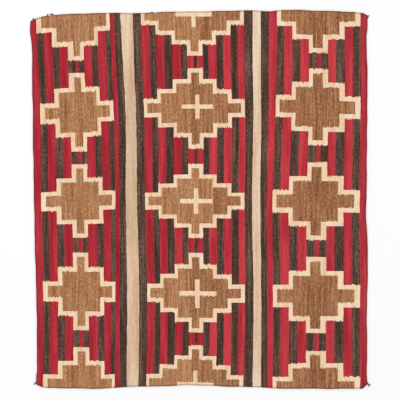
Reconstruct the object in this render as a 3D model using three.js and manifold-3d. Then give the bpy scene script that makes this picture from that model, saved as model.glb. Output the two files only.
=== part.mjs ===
// Handwoven wool floor rug, laid flat, in millimetres with +Z up.
// The rug's warps run across its width (X) and its wefts along its length (Y).
// Every piece rests on the floor at z = 0.
import * as THREE from 'three';
import { mergeVertices } from 'three/addons/utils/BufferGeometryUtils.js';
import Module from 'manifold-3d';

const wasm = await Module();
wasm.setup();

// Driving dimensions of the whole rug, over its selvage cords.
const RUG_WIDTH = 1490;
const RUG_LENGTH = 1676;
const WEB_THICKNESS = 4;
const CORD_DIAMETER = 4.6;
const FIT_GAP = 0.3;

// How finely the edge is followed.
const STATION_STEP = 24;
const CORNER_STEPS = 5;
const CORD_SIDES = 8;
const STRAND_SIDES = 4;
const HALVINGS = 40;

// The edge's small waves, where one bundle of yarn pulls more than the next.
const LONG_WAVE = { height: 0.9, length: 231, start: 0.4 };
const SHORT_WAVE = { height: 0.5, length: 118, start: 2.1 };

// A corner tassel: the knot of the selvage cords and their worn ends.
const KNOT_RADIUS = 3.8;
const KNOT_HEIGHT = 5.2;
const KNOT_CLEARANCE = 0.8;
const KNOT_SIDES = 12;
const STRAND_WIDTH = 1.5;
const STRAND_SPACING = 2.1;
const STRAND_CURL = 0.4;
const OUTER_STRAND_WEAR = 0.18;

// The knot is a low bun with a flat foot and a flat crown, as shares of its radius and height.
const KNOT_PROFILE = [
  { radius: 0, height: 0 },
  { radius: 0.82, height: 0 },
  { radius: 1, height: 0.3 },
  { radius: 1, height: 0.6 },
  { radius: 0.7, height: 1 },
  { radius: 0, height: 1 },
];

// How far each edge stands out from a true rectangle of the driving size.
// at: place along the edge from the rug's middle. out: distance outwards.
const TOP_DRIFT = [
  { at: -758, out: -38 },
  { at: -715, out: -25 },
  { at: -670, out: -18 },
  { at: -617, out: -13 },
  { at: -550, out: -8 },
  { at: -326, out: -6 },
  { at: -235, out: -6 },
  { at: -150, out: -1.5 },
  { at: -45, out: 2 },
  { at: 5, out: 0 },
  { at: 90, out: 2.5 },
  { at: 195, out: 6 },
  { at: 250, out: 4 },
  { at: 306, out: 0.5 },
  { at: 370, out: 8 },
  { at: 407, out: 9 },
  { at: 527, out: 3 },
  { at: 615, out: 3 },
  { at: 662, out: -0.5 },
  { at: 727, out: -7 },
  { at: 749, out: -16 },
];

const BOTTOM_DRIFT = [
  { at: -731, out: -8 },
  { at: -704, out: 2 },
  { at: -679, out: 5 },
  { at: -483, out: 9.5 },
  { at: -326, out: 2 },
  { at: -240, out: -1.5 },
  { at: -130, out: -3.3 },
  { at: -40, out: -7 },
  { at: 60, out: -4.7 },
  { at: 145, out: 1.5 },
  { at: 228, out: 0.8 },
  { at: 393, out: 10 },
  { at: 496, out: 7.5 },
  { at: 590, out: 10.5 },
  { at: 727, out: 8 },
  { at: 748, out: -10 },
];

const LEFT_DRIFT = [
  { at: -830, out: -13 },
  { at: -794, out: -12 },
  { at: -763, out: -15.5 },
  { at: -673, out: -16.5 },
  { at: -450, out: -14 },
  { at: -226, out: -7.5 },
  { at: -3, out: -3 },
  { at: 265, out: 1.5 },
  { at: 645, out: 6 },
  { at: 694, out: 7 },
  { at: 757, out: 15 },
  { at: 800, out: 13 },
];

const RIGHT_DRIFT = [
  { at: -828, out: 3 },
  { at: -785, out: 1.5 },
  { at: -450, out: 1 },
  { at: -307, out: 6 },
  { at: -226, out: 4 },
  { at: -50, out: -2.5 },
  { at: 150, out: 1 },
  { at: 300, out: 0.6 },
  { at: 375, out: 3.8 },
  { at: 475, out: 2.2 },
  { at: 583, out: 3.6 },
  { at: 645, out: 1.5 },
  { at: 694, out: -1.5 },
  { at: 730, out: -2 },
  { at: 757, out: 3 },
  { at: 822, out: 4 },
];

// round: how far before the corner the edge starts to turn.
const CORNERS = {
  bottomLeft: { round: 10 },
  bottomRight: { round: 6 },
  topRight: { round: 9 },
  topLeft: { round: 13 },
};

// aim: direction of the worn ends in degrees from +X. reach: their length beyond the knot.
// spread: angle between neighbouring strands.
const TASSELS = [
  { name: 'corner_tassel_bottom_left', corner: 'bottomLeft', aim: 221, reach: 10, strands: 3, spread: 5 },
  { name: 'corner_tassel_bottom_right', corner: 'bottomRight', aim: 308, reach: 14, strands: 3, spread: 4 },
  { name: 'corner_tassel_top_right', corner: 'topRight', aim: 58, reach: 9, strands: 2, spread: 9 },
  { name: 'corner_tassel_top_left', corner: 'topLeft', aim: 104, reach: 6, strands: 2, spread: 10 },
];

// The top selvage cord has parted twice. Each loose end is a short run of places:
// at along the edge and out beyond the cord's usual line.
const FIRST_BREAK = {
  leftEnd: [
    { at: -686, out: 0.4 },
    { at: -680.5, out: 4 },
    { at: -679.5, out: 10.5 },
  ],
  rightStart: [
    { at: -668.5, out: 2.6 },
    { at: -667.4, out: 7.4 },
    { at: -662.6, out: 9.6 },
    { at: -657.6, out: 7 },
    { at: -655, out: 2.4 },
    { at: -648, out: 0.2 },
  ],
};

const SECOND_BREAK = {
  leftEnd: [
    { at: -224, out: 0.3 },
    { at: -217, out: 2.2 },
    { at: -211, out: 4.6 },
  ],
  rightStart: [
    { at: -190, out: 1.2 },
    { at: -182, out: 0.2 },
  ],
};

const WOOL = { roughness: 0.95, metalness: 0 };

const colours = {
  web: 0xa8423f,
  endCord: 0x5a2228,
  sideCord: 0x4a2a2a,
  tassel: 0x4c3334,
};

function woolMaterial(colour) {
  return new THREE.MeshStandardMaterial({ color: colour, ...WOOL });
}

function wave(at, { height, length, start }) {
  return height * Math.sin((2 * Math.PI * at) / length + start);
}

// Distance outwards of an edge at one place, easing from each row to the next.
function driftAt(rows, at) {
  const last = rows.length - 2;
  const found = rows.findIndex((row, i) => i > 0 && at <= row.at) - 1;
  const i = found < 0 ? last : Math.min(found, last);
  const share = THREE.MathUtils.clamp((at - rows[i].at) / (rows[i + 1].at - rows[i].at), 0, 1);
  const eased = (1 - Math.cos(Math.PI * share)) / 2;
  return THREE.MathUtils.lerp(rows[i].out, rows[i + 1].out, eased);
}

// Places along an edge: each row of its table, and even steps between the rows.
function stations(rows, startRound, endRound) {
  const first = rows[0].at + startRound;
  const last = rows[rows.length - 1].at - endRound;
  const marks = [first, ...rows.map((row) => row.at).filter((at) => at > first && at < last), last];
  const places = [];
  for (let i = 0; i + 1 < marks.length; i += 1) {
    const steps = Math.max(1, Math.round((marks[i + 1] - marks[i]) / STATION_STEP));
    for (let s = 0; s < steps; s += 1) {
      places.push(THREE.MathUtils.lerp(marks[i], marks[i + 1], s / steps));
    }
  }
  places.push(last);
  return places;
}

function ripple(at) {
  return wave(at, LONG_WAVE) + wave(at, SHORT_WAVE);
}

// Each edge turns a place along it and a distance outwards into a point.
const EDGES = {
  bottom: {
    rows: BOTTOM_DRIFT,
    toPoint: (at, out) => new THREE.Vector2(at, -RUG_LENGTH / 2 - out),
  },
  right: {
    rows: RIGHT_DRIFT,
    toPoint: (at, out) => new THREE.Vector2(RUG_WIDTH / 2 + out, at),
  },
  top: {
    rows: TOP_DRIFT,
    toPoint: (at, out) => new THREE.Vector2(at, RUG_LENGTH / 2 + out),
  },
  left: {
    rows: LEFT_DRIFT,
    toPoint: (at, out) => new THREE.Vector2(-RUG_WIDTH / 2 - out, at),
  },
};

function edgePoint(edge, at) {
  return edge.toPoint(at, driftAt(edge.rows, at) + ripple(at));
}

function edgeLine(edge, startCorner, endCorner) {
  const places = stations(edge.rows, startCorner.round, endCorner.round);
  return places.map((at) => edgePoint(edge, at));
}

const firstOf = (line) => line[0];
const lastOf = (line) => line[line.length - 1];

// Where a standing edge and a lying edge would meet: x of the first and y of the second.
function cornerPoint(standing, standingEnd, lying, lyingEnd) {
  const side = edgePoint(standing, standingEnd(standing.rows).at);
  const end = edgePoint(lying, lyingEnd(lying.rows).at);
  return new THREE.Vector2(side.x, end.y);
}

// The bend of a corner between two lines, without the ends of those lines.
function cornerBend(lineIn, corner, lineOut) {
  const bend = new THREE.QuadraticBezierCurve(lastOf(lineIn), corner, firstOf(lineOut));
  return bend.getPoints(CORNER_STEPS).slice(1, -1);
}

// The rug's outer edge, anticlockwise from the bottom left, in named runs.
function outerRuns() {
  const { bottomLeft, bottomRight, topRight, topLeft } = CORNERS;
  const bottom = edgeLine(EDGES.bottom, bottomLeft, bottomRight);
  const right = edgeLine(EDGES.right, bottomRight, topRight);
  const top = edgeLine(EDGES.top, topLeft, topRight).reverse();
  const left = edgeLine(EDGES.left, bottomLeft, topLeft).reverse();
  return {
    bottom,
    bendBottomRight: cornerBend(bottom, cornerPoint(EDGES.right, firstOf, EDGES.bottom, lastOf), right),
    right,
    bendTopRight: cornerBend(right, cornerPoint(EDGES.right, lastOf, EDGES.top, lastOf), top),
    top,
    bendTopLeft: cornerBend(top, cornerPoint(EDGES.left, lastOf, EDGES.top, firstOf), left),
    left,
    bendBottomLeft: cornerBend(left, cornerPoint(EDGES.left, firstOf, EDGES.bottom, firstOf), bottom),
  };
}

// The same closed line, moved inwards by one distance, in the same named runs.
function insetRuns(runs, distance) {
  const loop = Object.values(runs).flat();
  const moved = loop.map((point, i) => {
    const before = loop[(i + loop.length - 1) % loop.length];
    const after = loop[(i + 1) % loop.length];
    const inbound = point.clone().sub(before).normalize();
    const outbound = after.clone().sub(point).normalize();
    const along = inbound.clone().add(outbound).normalize();
    const inwards = new THREE.Vector2(-along.y, along.x);
    const mitre = 1 / Math.max(0.5, along.dot(outbound));
    return point.clone().addScaledVector(inwards, distance * mitre);
  });
  const inset = {};
  let next = 0;
  for (const [name, line] of Object.entries(runs)) {
    inset[name] = moved.slice(next, next + line.length);
    next += line.length;
  }
  return inset;
}

// A route whose sections stand exactly at its given points.
class StationedRoute extends THREE.Curve {
  constructor(points) {
    super();
    this.points = points;
  }

  getPoint(share, target = new THREE.Vector3()) {
    const place = share * (this.points.length - 1);
    const i = Math.min(Math.floor(place), this.points.length - 2);
    return target.lerpVectors(this.points[i], this.points[i + 1], place - i);
  }

  getPointAt(share, target) {
    return this.getPoint(share, target);
  }

  getTangentAt(share, target = new THREE.Vector3()) {
    const last = this.points.length - 1;
    const i = Math.round(share * last);
    const inbound = new THREE.Vector3();
    const outbound = new THREE.Vector3();
    if (i > 0) inbound.subVectors(this.points[i], this.points[i - 1]).normalize();
    if (i < last) outbound.subVectors(this.points[i + 1], this.points[i]).normalize();
    return target.addVectors(inbound, outbound).normalize();
  }
}

// A polygon that measures the given width between opposite flat sides, with flats up and down.
function flatSidedSection(width, sides) {
  const radius = width / 2 / Math.cos(Math.PI / sides);
  const corners = [];
  for (let i = 0; i < sides; i += 1) {
    const angle = ((i + 0.5) * 2 * Math.PI) / sides;
    corners.push(new THREE.Vector2(radius * Math.cos(angle), radius * Math.sin(angle)));
  }
  return new THREE.Shape(corners);
}

// A rod of one width that lies level on the floor along a plan line.
function floorRod(line, width, sides) {
  const route = new StationedRoute(line.map((point) => new THREE.Vector3(point.x, point.y, width / 2)));
  return new THREE.ExtrudeGeometry(flatSidedSection(width, sides), {
    steps: line.length - 1,
    extrudePath: route,
    bevelEnabled: false,
  });
}

// A line that starts at a set distance from a knot's middle.
function startClearOf(line, knot, clear) {
  const outside = line.findIndex((point) => point.distanceTo(knot) > clear);
  const before = outside > 0 ? line[outside - 1] : knot;
  const after = line[outside];
  let near = 0;
  let far = 1;
  for (let i = 0; i < HALVINGS; i += 1) {
    const middle = (near + far) / 2;
    const inside = before.clone().lerp(after, middle).distanceTo(knot) < clear;
    if (inside) near = middle;
    else far = middle;
  }
  return [before.clone().lerp(after, far), ...line.slice(outside)];
}

function betweenKnots(line, startKnot, endKnot) {
  const clear = KNOT_RADIUS + KNOT_CLEARANCE;
  const begun = startClearOf(line, startKnot, clear);
  return startClearOf(begun.reverse(), endKnot, clear).reverse();
}

function mesh(name, geometry, colour) {
  const piece = new THREE.Mesh(geometry, woolMaterial(colour));
  piece.name = name;
  return piece;
}

function webPiece(runs) {
  const outline = Object.values(insetRuns(runs, CORD_DIAMETER + FIT_GAP)).flat();
  const geometry = new THREE.ExtrudeGeometry(new THREE.Shape(outline), {
    depth: WEB_THICKNESS,
    bevelEnabled: false,
  });
  return mesh('rug_web', geometry, colours.web);
}

function cordPiece(name, line, colour) {
  return mesh(name, floorRod(line, CORD_DIAMETER, CORD_SIDES), colour);
}

// Plan points of a loose end, from its places along the top edge.
function looseEnd(rows) {
  const cordInset = CORD_DIAMETER / 2;
  return rows.map(({ at, out }) => {
    const edge = edgePoint(EDGES.top, at);
    return new THREE.Vector2(edge.x, edge.y - cordInset + out);
  });
}

// The top cord in its three parted lengths, read from left to right.
function topCordPieces(line) {
  const leftToRight = [...line].reverse();
  const isBetween = (from, to) => (point) => point.x > from && point.x < to;
  const firstEnd = looseEnd(FIRST_BREAK.leftEnd);
  const firstStart = looseEnd(FIRST_BREAK.rightStart);
  const secondEnd = looseEnd(SECOND_BREAK.leftEnd);
  const secondStart = looseEnd(SECOND_BREAK.rightStart);
  const step = STATION_STEP / 3;
  const cornerLength = leftToRight.filter((point) => point.x < firstOf(firstEnd).x - step);
  const middleLength = leftToRight.filter(
    isBetween(lastOf(firstStart).x + step, firstOf(secondEnd).x - step),
  );
  const longLength = leftToRight.filter((point) => point.x > lastOf(secondStart).x + step);
  return [
    cordPiece('side_cord_top_left', [...cornerLength, ...firstEnd], colours.sideCord),
    cordPiece('side_cord_top_middle', [...firstStart, ...middleLength, ...secondEnd], colours.sideCord),
    cordPiece('side_cord_top_right', [...secondStart, ...longLength], colours.sideCord),
  ];
}

// A closed solid for cutting and joining, from a geometry.
function toSolid(geometry) {
  const bare = geometry.clone();
  bare.deleteAttribute('normal');
  bare.deleteAttribute('uv');
  const merged = mergeVertices(bare, 1e-4);
  const vertProperties = new Float32Array(merged.attributes.position.array);
  const triVerts = new Uint32Array(merged.index.array);
  return new wasm.Manifold(new wasm.Mesh({ numProp: 3, vertProperties, triVerts }));
}

function fromSolid(solid) {
  const { vertProperties, triVerts } = solid.getMesh();
  const geometry = new THREE.BufferGeometry();
  geometry.setAttribute('position', new THREE.BufferAttribute(vertProperties, 3));
  geometry.setIndex(new THREE.BufferAttribute(triVerts, 1));
  geometry.computeVertexNormals();
  return geometry;
}

function knotGeometry(centre) {
  const profile = KNOT_PROFILE.map(
    ({ radius, height }) => new THREE.Vector2(radius * KNOT_RADIUS, height * KNOT_HEIGHT),
  );
  const bun = new THREE.LatheGeometry(profile, KNOT_SIDES);
  bun.rotateX(Math.PI / 2);
  bun.translate(centre.x, centre.y, 0);
  return bun;
}

// One worn strand: out of the knot and level along the floor, curving a little.
function strandGeometry(centre, aim, sideStep, reach) {
  const along = new THREE.Vector2(Math.cos(aim), Math.sin(aim));
  const across = new THREE.Vector2(-along.y, along.x);
  const place = (forward, bow) =>
    centre.clone().addScaledVector(along, forward).addScaledVector(across, sideStep + bow);
  const line = [
    place(KNOT_RADIUS / 4, 0),
    place(KNOT_RADIUS, 0),
    place(KNOT_RADIUS + reach / 2, STRAND_CURL),
    place(KNOT_RADIUS + reach, 0),
  ];
  return floorRod(line, STRAND_WIDTH, STRAND_SIDES);
}

function tasselPiece({ name, aim, reach, strands, spread }, centre) {
  let solid = toSolid(knotGeometry(centre));
  for (let i = 0; i < strands; i += 1) {
    const place = i - (strands - 1) / 2;
    const strandAim = THREE.MathUtils.degToRad(aim + place * spread);
    const worn = reach * (1 - OUTER_STRAND_WEAR * Math.abs(place));
    solid = solid.add(toSolid(strandGeometry(centre, strandAim, place * STRAND_SPACING, worn)));
  }
  return mesh(name, fromSolid(solid), colours.tassel);
}

function buildRug() {
  const outer = outerRuns();
  const cordLine = insetRuns(outer, CORD_DIAMETER / 2);
  const knotLine = insetRuns(outer, CORD_DIAMETER - KNOT_RADIUS);
  const knots = {
    bottomLeft: lastOf(knotLine.left),
    bottomRight: firstOf(knotLine.right),
    topRight: lastOf(knotLine.right),
    topLeft: lastOf(knotLine.top),
  };
  const bottomLine = [...cordLine.bendBottomLeft, ...cordLine.bottom, ...cordLine.bendBottomRight];
  const topLine = [...cordLine.bendTopRight, ...cordLine.top];
  const leftLine = [...cordLine.bendTopLeft, ...cordLine.left];
  const pieces = [
    webPiece(outer),
    cordPiece(
      'side_cord_bottom',
      betweenKnots(bottomLine, knots.bottomLeft, knots.bottomRight),
      colours.sideCord,
    ),
    ...topCordPieces(betweenKnots(topLine, knots.topRight, knots.topLeft)),
    cordPiece(
      'end_cord_right',
      betweenKnots(cordLine.right, knots.bottomRight, knots.topRight),
      colours.endCord,
    ),
    cordPiece('end_cord_left', betweenKnots(leftLine, knots.topLeft, knots.bottomLeft), colours.endCord),
    ...TASSELS.map((tassel) => tasselPiece(tassel, knots[tassel.corner])),
  ];
  const laid = new THREE.Group();
  laid.add(...pieces);
  return laid;
}

// The rug is set down with the middle of its reach over the origin.
const rug = new THREE.Group();
const laid = buildRug();
const middle = new THREE.Box3().setFromObject(laid).getCenter(new THREE.Vector3());
laid.position.set(-middle.x, -middle.y, 0);
rug.add(laid);

export default rug;
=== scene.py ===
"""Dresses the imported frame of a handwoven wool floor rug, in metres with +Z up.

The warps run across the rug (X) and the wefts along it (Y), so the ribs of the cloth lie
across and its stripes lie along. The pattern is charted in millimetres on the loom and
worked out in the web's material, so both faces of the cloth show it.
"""

import logging
import math
from dataclasses import dataclass, field
from enum import Enum

import bpy
import numpy as np
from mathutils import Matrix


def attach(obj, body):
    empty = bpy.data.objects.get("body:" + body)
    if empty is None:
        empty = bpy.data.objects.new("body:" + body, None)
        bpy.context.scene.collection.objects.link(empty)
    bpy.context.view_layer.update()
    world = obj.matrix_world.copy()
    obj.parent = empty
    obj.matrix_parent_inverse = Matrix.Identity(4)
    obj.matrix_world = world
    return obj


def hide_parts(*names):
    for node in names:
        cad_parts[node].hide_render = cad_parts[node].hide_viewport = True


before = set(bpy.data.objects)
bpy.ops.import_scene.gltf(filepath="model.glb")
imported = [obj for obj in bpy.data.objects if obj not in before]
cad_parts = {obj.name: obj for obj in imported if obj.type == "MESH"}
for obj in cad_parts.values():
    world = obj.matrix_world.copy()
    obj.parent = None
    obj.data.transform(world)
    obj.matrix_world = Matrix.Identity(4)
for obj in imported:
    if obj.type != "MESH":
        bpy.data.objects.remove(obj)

LOG = logging.getLogger("rug")
BODY = "root"
MM = 0.001
# How far below a solid's top its crown reaches, how far above its foot the foot does, and the
# digits that tell its places in metres apart.
CROWN_SLACK = 0.05 * MM
FOOT_SLACK = 0.1 * MM
PLACE_DIGITS = 6
# One turn of the plies of a side cord and of an end cord.
SIDE_TURN = 21.4 * MM
END_TURN = 12.0 * MM
TASSEL_SEEDS = {"bottom_left": 3, "bottom_right": 4, "top_right": 5, "top_left": 6}
# What most of a noise lies between, and the roughness of a noise of fine fibres.
NOISE_RANGE = (0.3, 0.7)
FIBROUS = 0.7
# The factor and the two colours among a Mix node's inputs.
MIX_INPUTS = (0, 6, 7)

# The photograph's frame on the floor: its width, and the place at its middle.
FRAME_WIDTH = 1.788
FRAME_MIDDLE = (0.0002, -0.0026)

Socket = bpy.types.NodeSocket
Colour = tuple[float, float, float, float]


class Wool(Enum):
    """The wool that a stripe is woven in."""

    RED = "red"
    CHARCOAL = "charcoal"
    CREAM = "cream"


class Side(Enum):
    """A side of the cloth, named as the camera sees it, anticlockwise."""

    BOTTOM = "bottom"
    RIGHT = "right"
    TOP = "top"
    LEFT = "left"


TURN_SEEDS = {Side.TOP: 7, Side.BOTTOM: 19}


@dataclass(frozen=True)
class Stripe:
    """One stripe of weft: its wool, its width in millimetres and how pale it is, from 0 to 1."""

    wool: Wool
    width: float
    tone: float = 0.5


def red(width: float, tone: float = 0.5) -> Stripe:
    """A red stripe."""
    return Stripe(Wool.RED, width, tone)


def dark(width: float, tone: float = 0.5) -> Stripe:
    """A charcoal stripe."""
    return Stripe(Wool.CHARCOAL, width, tone)


def cream(width: float, tone: float = 0.5) -> Stripe:
    """A cream stripe."""
    return Stripe(Wool.CREAM, width, tone)


@dataclass(frozen=True)
class Panel:
    """A stripe panel that carries a column of stepped medallions.

    half_heights are the steps' half heights in millimetres, the widest step first. Each
    narrower step begins two stripes further in. The outline is wider on its left than on
    its right by twice the lean.
    """

    stripes: tuple[Stripe, ...]
    half_heights: tuple[float, ...]
    outline_across: float
    outline_along: float
    outline_lean: float

    def steps(self, start: float) -> list[tuple[float, float, float]]:
        """The steps of a medallion.

        Args:
            start: where the panel begins in the chart.

        Returns:
            The middle, half width and half height of each step.
        """
        widths = [stripe.width for stripe in self.stripes]
        found = []
        for number, half_height in enumerate(self.half_heights):
            left = start + sum(widths[: 2 * number])
            right = start + sum(widths) - sum(widths[len(widths) - 2 * number :])
            found.append(((left + right) / 2, (right - left) / 2, half_height))
        return found


LEFT_BORDER = (red(25, 0.45),)
LEFT_PANEL = Panel(
    stripes=(
        dark(30), red(38, 0.4), dark(31), red(39, 0.4), dark(27, 0.7), red(18, 0.45),
        dark(25, 0.6), red(36, 0.4), dark(27, 0.4), red(35, 0.35), dark(24),
    ),
    half_heights=(45.5, 110, 175),
    outline_across=18.3,
    outline_along=20,
    outline_lean=2.2,
)
LEFT_BAND = (red(18, 0.3), dark(31), cream(49, 0.35), dark(36))
CENTRE_PANEL = Panel(
    stripes=(
        red(34, 0.45), dark(29, 0.4), red(37), dark(34, 0.3), red(38), dark(30), red(29, 0.45),
        dark(13, 0.3), red(27, 0.5), dark(26, 0.35), red(35, 0.75), dark(31, 0.3), red(36, 0.8),
        dark(32, 0.4), red(28, 0.7),
    ),
    half_heights=(40.5, 84.5, 128, 178),
    outline_across=16.2,
    outline_along=19,
    outline_lean=-1.1,
)
RIGHT_BAND = (dark(37), cream(38, 0.6), dark(36), red(34, 0.65))
RIGHT_PANEL = Panel(
    stripes=(
        dark(33), red(37, 0.75), dark(37), red(39, 0.7), dark(36, 0.6), red(17, 0.6),
        dark(33), red(34, 0.75), dark(40), red(37, 0.65), dark(34, 0.65),
    ),
    half_heights=(49, 108, 169),
    outline_across=20.6,
    outline_along=20.5,
    outline_lean=-3.1,
)
RIGHT_BORDER = (red(30, 0.6),)

# The weft order in three runs, left to right, with the panel that each holds.
LEFT_RUN = (*LEFT_BORDER, *LEFT_PANEL.stripes, *LEFT_BAND)
CENTRE_RUN = (*CENTRE_PANEL.stripes, *RIGHT_BAND[:3])
RIGHT_RUN = (*RIGHT_BAND[3:], *RIGHT_PANEL.stripes, *RIGHT_BORDER)


def run_width(stripes: tuple[Stripe, ...]) -> float:
    """The width of several stripes side by side."""
    return sum(stripe.width for stripe in stripes)


LEFT_PANEL_START = run_width(LEFT_BORDER)
CENTRE_RUN_START = run_width(LEFT_RUN)
RIGHT_RUN_START = CENTRE_RUN_START + run_width(CENTRE_RUN)
RIGHT_PANEL_START = RIGHT_RUN_START + run_width(RIGHT_BAND[3:])
CHART_WIDTH = RIGHT_RUN_START + run_width(RIGHT_RUN)
ROW_PITCH = 409.0
ROW_COUNT = 5


@dataclass(frozen=True)
class LoomLine:
    """A line between two wefts and how it wanders, in millimetres.

    order is its place in the chart, and across its place from the rug's middle at each
    of the WANDER_HEIGHTS.
    """

    order: float
    across: tuple[float, ...]


WANDER_HEIGHTS = (802, 623, 400, -3, -405, -807)
LOOM_LINES = (
    LoomLine(25, (-731, -724, -712, -708, -699, -701)),
    LoomLine(163, (-592, -591, -580, -570, -566, -565)),
    LoomLine(190, (-560, -554, -552, -545, -541, -538)),
    LoomLine(208, (-544, -546, -535, -528, -523, -518)),
    LoomLine(233, (-520, -518, -508, -502, -498, -494)),
    LoomLine(296, (-457, -455, -445, -433, -428, -425)),
    LoomLine(355, (-404, -395, -386, -378, -378, -382)),
    LoomLine(404, (-357, -346, -333, -333, -326, -328)),
    LoomLine(453, (-302, -297, -288, -283, -273, -276)),
    LoomLine(489, (-263, -260, -250, -245, -235, -240)),
    LoomLine(725.5, (-26, -22, -18, -20, -18, -20)),
    LoomLine(948, (196, 196, 201, 199, 200, 193)),
    LoomLine(985, (236, 235, 239, 231, 240, 235)),
    LoomLine(1023, (271, 271, 273, 270, 274, 274)),
    LoomLine(1093, (345, 343, 338, 323, 326, 324)),
    LoomLine(1283, (530, 530, 531, 523, 519, 518)),
    LoomLine(1470, (717, 717, 717, 713, 715, 715)),
)

# Heights of the medallions' middles at the six sides of the panels, the top row first,
# and how tall each row is woven there against the chart.
PANEL_SIDES = (25, 355, 489, 948, 1093, 1470)
ROW_MIDDLES = (
    (788, 801, 820, 820, 825, 822),
    (381, 397, 408, 407, 418, 408),
    (-11, -2.5, -7, -7, -7.5, -8),
    (-410, -412, -417, -421, -431, -432),
    (-825, -825, -819, -827, -841, -840),
)
ROW_GROWTH = (
    (1.0, 1.0, 1.0, 1.0, 1.0, 1.0),
    (1.0, 1.0, 1.01, 1.01, 1.01, 1.01),
    (0.935, 0.935, 0.925, 0.925, 1.03, 1.03),
    (0.99, 0.99, 1.01, 1.01, 1.03, 1.03),
    (0.945, 0.945, 0.99, 0.99, 1.0, 1.0),
)
ROW_WAIST = 110.0
ROW_REACH = 180.0
# How much of its reach the narrowest step of a row keeps at the six sides, first above the
# row's middle and then below it. The two lowest rows are woven shorter where they face
# each other.
WHOLE_REACH = (1.0, 1.0, 1.0, 1.0, 1.0, 1.0)
TIP_SHARES = (
    (WHOLE_REACH, WHOLE_REACH),
    (WHOLE_REACH, WHOLE_REACH),
    (WHOLE_REACH, WHOLE_REACH),
    (WHOLE_REACH, (1.0, 1.0, 0.967, 0.967, 0.941, 0.941)),
    ((1.0, 1.0, 0.966, 0.966, 0.967, 0.967), WHOLE_REACH),
)
# The top row was begun part way up its medallions, so its widest steps and the bar of its
# emblem run on to the edge.
TOP_ROW_CUT = 20.0
TOP_BAR_CUT = 10.0


@dataclass(frozen=True)
class Emblem:
    """The ivory cross of one middle medallion.

    across and along shift it from the middle, bar and stem are its half lengths, and
    russet_start is the place in the chart where the medallion's tan turns russet.
    """

    across: float
    along: float
    bar: float
    stem: float
    thickness: float
    russet_start: float


EMBLEMS = (
    Emblem(-3, 7, 81, 58, 18.5, 752),
    Emblem(7, 7, 71, 54, 18.5, 700),
    Emblem(2, -1, 75, 62, 20.5, 805),
    Emblem(6, -1, 87, 63, 21, 696),
    Emblem(-1, -3, 86, 61, 20, 710),
)
EMBLEM_MIDDLE = 725.5

# How much of a rib a level colour join skips, just under a whole one so that it never
# doubles back where a row is woven tall.
RIB_STEP = 0.92
RIB_PITCH = 4.8 * MM

# Where the medallions' tan begins to be russet, and how russet it is from there on. The side
# panels' marks lie in the chart. The middle panel's lie in a run with its own turn to russet
# half way along.
SIDE_TANS = (
    (0, 0.15), (110, 0.3), (200, 0.2), (1093, 0.45), (1165, 0.75), (1250, 1.0), (1330, 0.85),
    (1405, 0.65),
)
MIDDLE_TANS = ((0, 0.0), (300, 0.1), (470, 0.0), (500, 0.9), (540, 0.6), (640, 0.7))
MIDDLE_TAN_RUN = 1000


@dataclass(frozen=True)
class Unevenness:
    """One way in which handspun wool varies.

    across and along are the reach of its patches in millimetres, detail and roughness say how
    fine they are, and what lies between low and high shows.
    """

    across: float
    along: float
    detail: float
    roughness: float
    low: float
    high: float


UNEVENNESS = {
    "Fleece": Unevenness(7, 12, 3, 0.7, 0.28, 0.72),
    "Streak": Unevenness(9, 170, 2, 0.65, 0.3, 0.7),
    "Batch": Unevenness(30, 420, 1, 0.5, 0.32, 0.68),
    "Speck": Unevenness(6, 9, 1, 0.5, 0.7, 0.76),
}
# Sets the unevenness of each wool apart from red's.
WOOL_SEEDS = {"Charcoal": 3.1, "Cream": 5.7, "Ivory": 9.3, "Tan": 13.9}


def linear(red_byte: int, green_byte: int, blue_byte: int) -> Colour:
    """A display colour in bytes as linear light, with full alpha.

    Args:
        red_byte: its red.
        green_byte: its green.
        blue_byte: its blue.

    Returns:
        The colour by the sRGB curve.
    """
    parts = []
    for byte in (red_byte, green_byte, blue_byte):
        share = byte / 255
        parts.append(share / 12.92 if share <= 0.04045 else ((share + 0.055) / 1.055) ** 2.4)
    return (*parts, 1.0)


@dataclass(frozen=True)
class Dye:
    """A wool's colours, from its deepest to its palest yarn, and how it varies between them.

    fleece, streak, batch and tone are the weights of the carding, the spinning, the dye batch
    and the stripe's own tone.
    """

    deep: Colour
    middle: Colour
    pale: Colour
    fleece: float = 0.0
    streak: float = 0.0
    batch: float = 0.0
    tone: float = 0.0


def dye(deep: tuple, middle: tuple, pale: tuple, *weights: float) -> Dye:
    """A dye from colours in bytes and its four weights."""
    return Dye(linear(*deep), linear(*middle), linear(*pale), *weights)


CRIMSON = dye((148, 28, 40), (178, 44, 56), (208, 66, 74), 0.45, 0.5, 0.45, 0.9)
CHARCOAL = dye((46, 35, 29), (83, 61, 50), (127, 100, 84), 0.8, 0.6, 0.3, 0.6)
CREAM = dye((202, 166, 134), (225, 192, 161), (240, 215, 191), 0.5, 0.45, 0.45, 0.9)
IVORY = dye((222, 184, 146), (245, 213, 178), (253, 231, 203), 0.4, 0.35, 0.4, 0.0)
GOLDEN_TAN = dye((136, 86, 48), (180, 127, 86), (216, 166, 122), 0.8, 0.6, 0.4, 0.0)
RUSSET_TAN = dye((108, 62, 38), (153, 101, 67), (194, 142, 102), 0.9, 0.65, 0.4, 0.0)
WINE = dye((98, 28, 38), (146, 48, 58), (178, 70, 78))
WINE_BROWN = dye((50, 18, 23), (90, 36, 41), (128, 68, 69))


@dataclass(frozen=True)
class WoolFinish:
    """How any wool of the rug takes the light, with its reliefs in metres."""

    roughness: float = 0.92
    sheen: float = 0.05
    sheen_roughness: float = 0.6
    specular: float = 0.08
    relief_strength: float = 0.6
    weft_relief: float = 0.4 * MM
    cord_relief: float = 0.3 * MM


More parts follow.
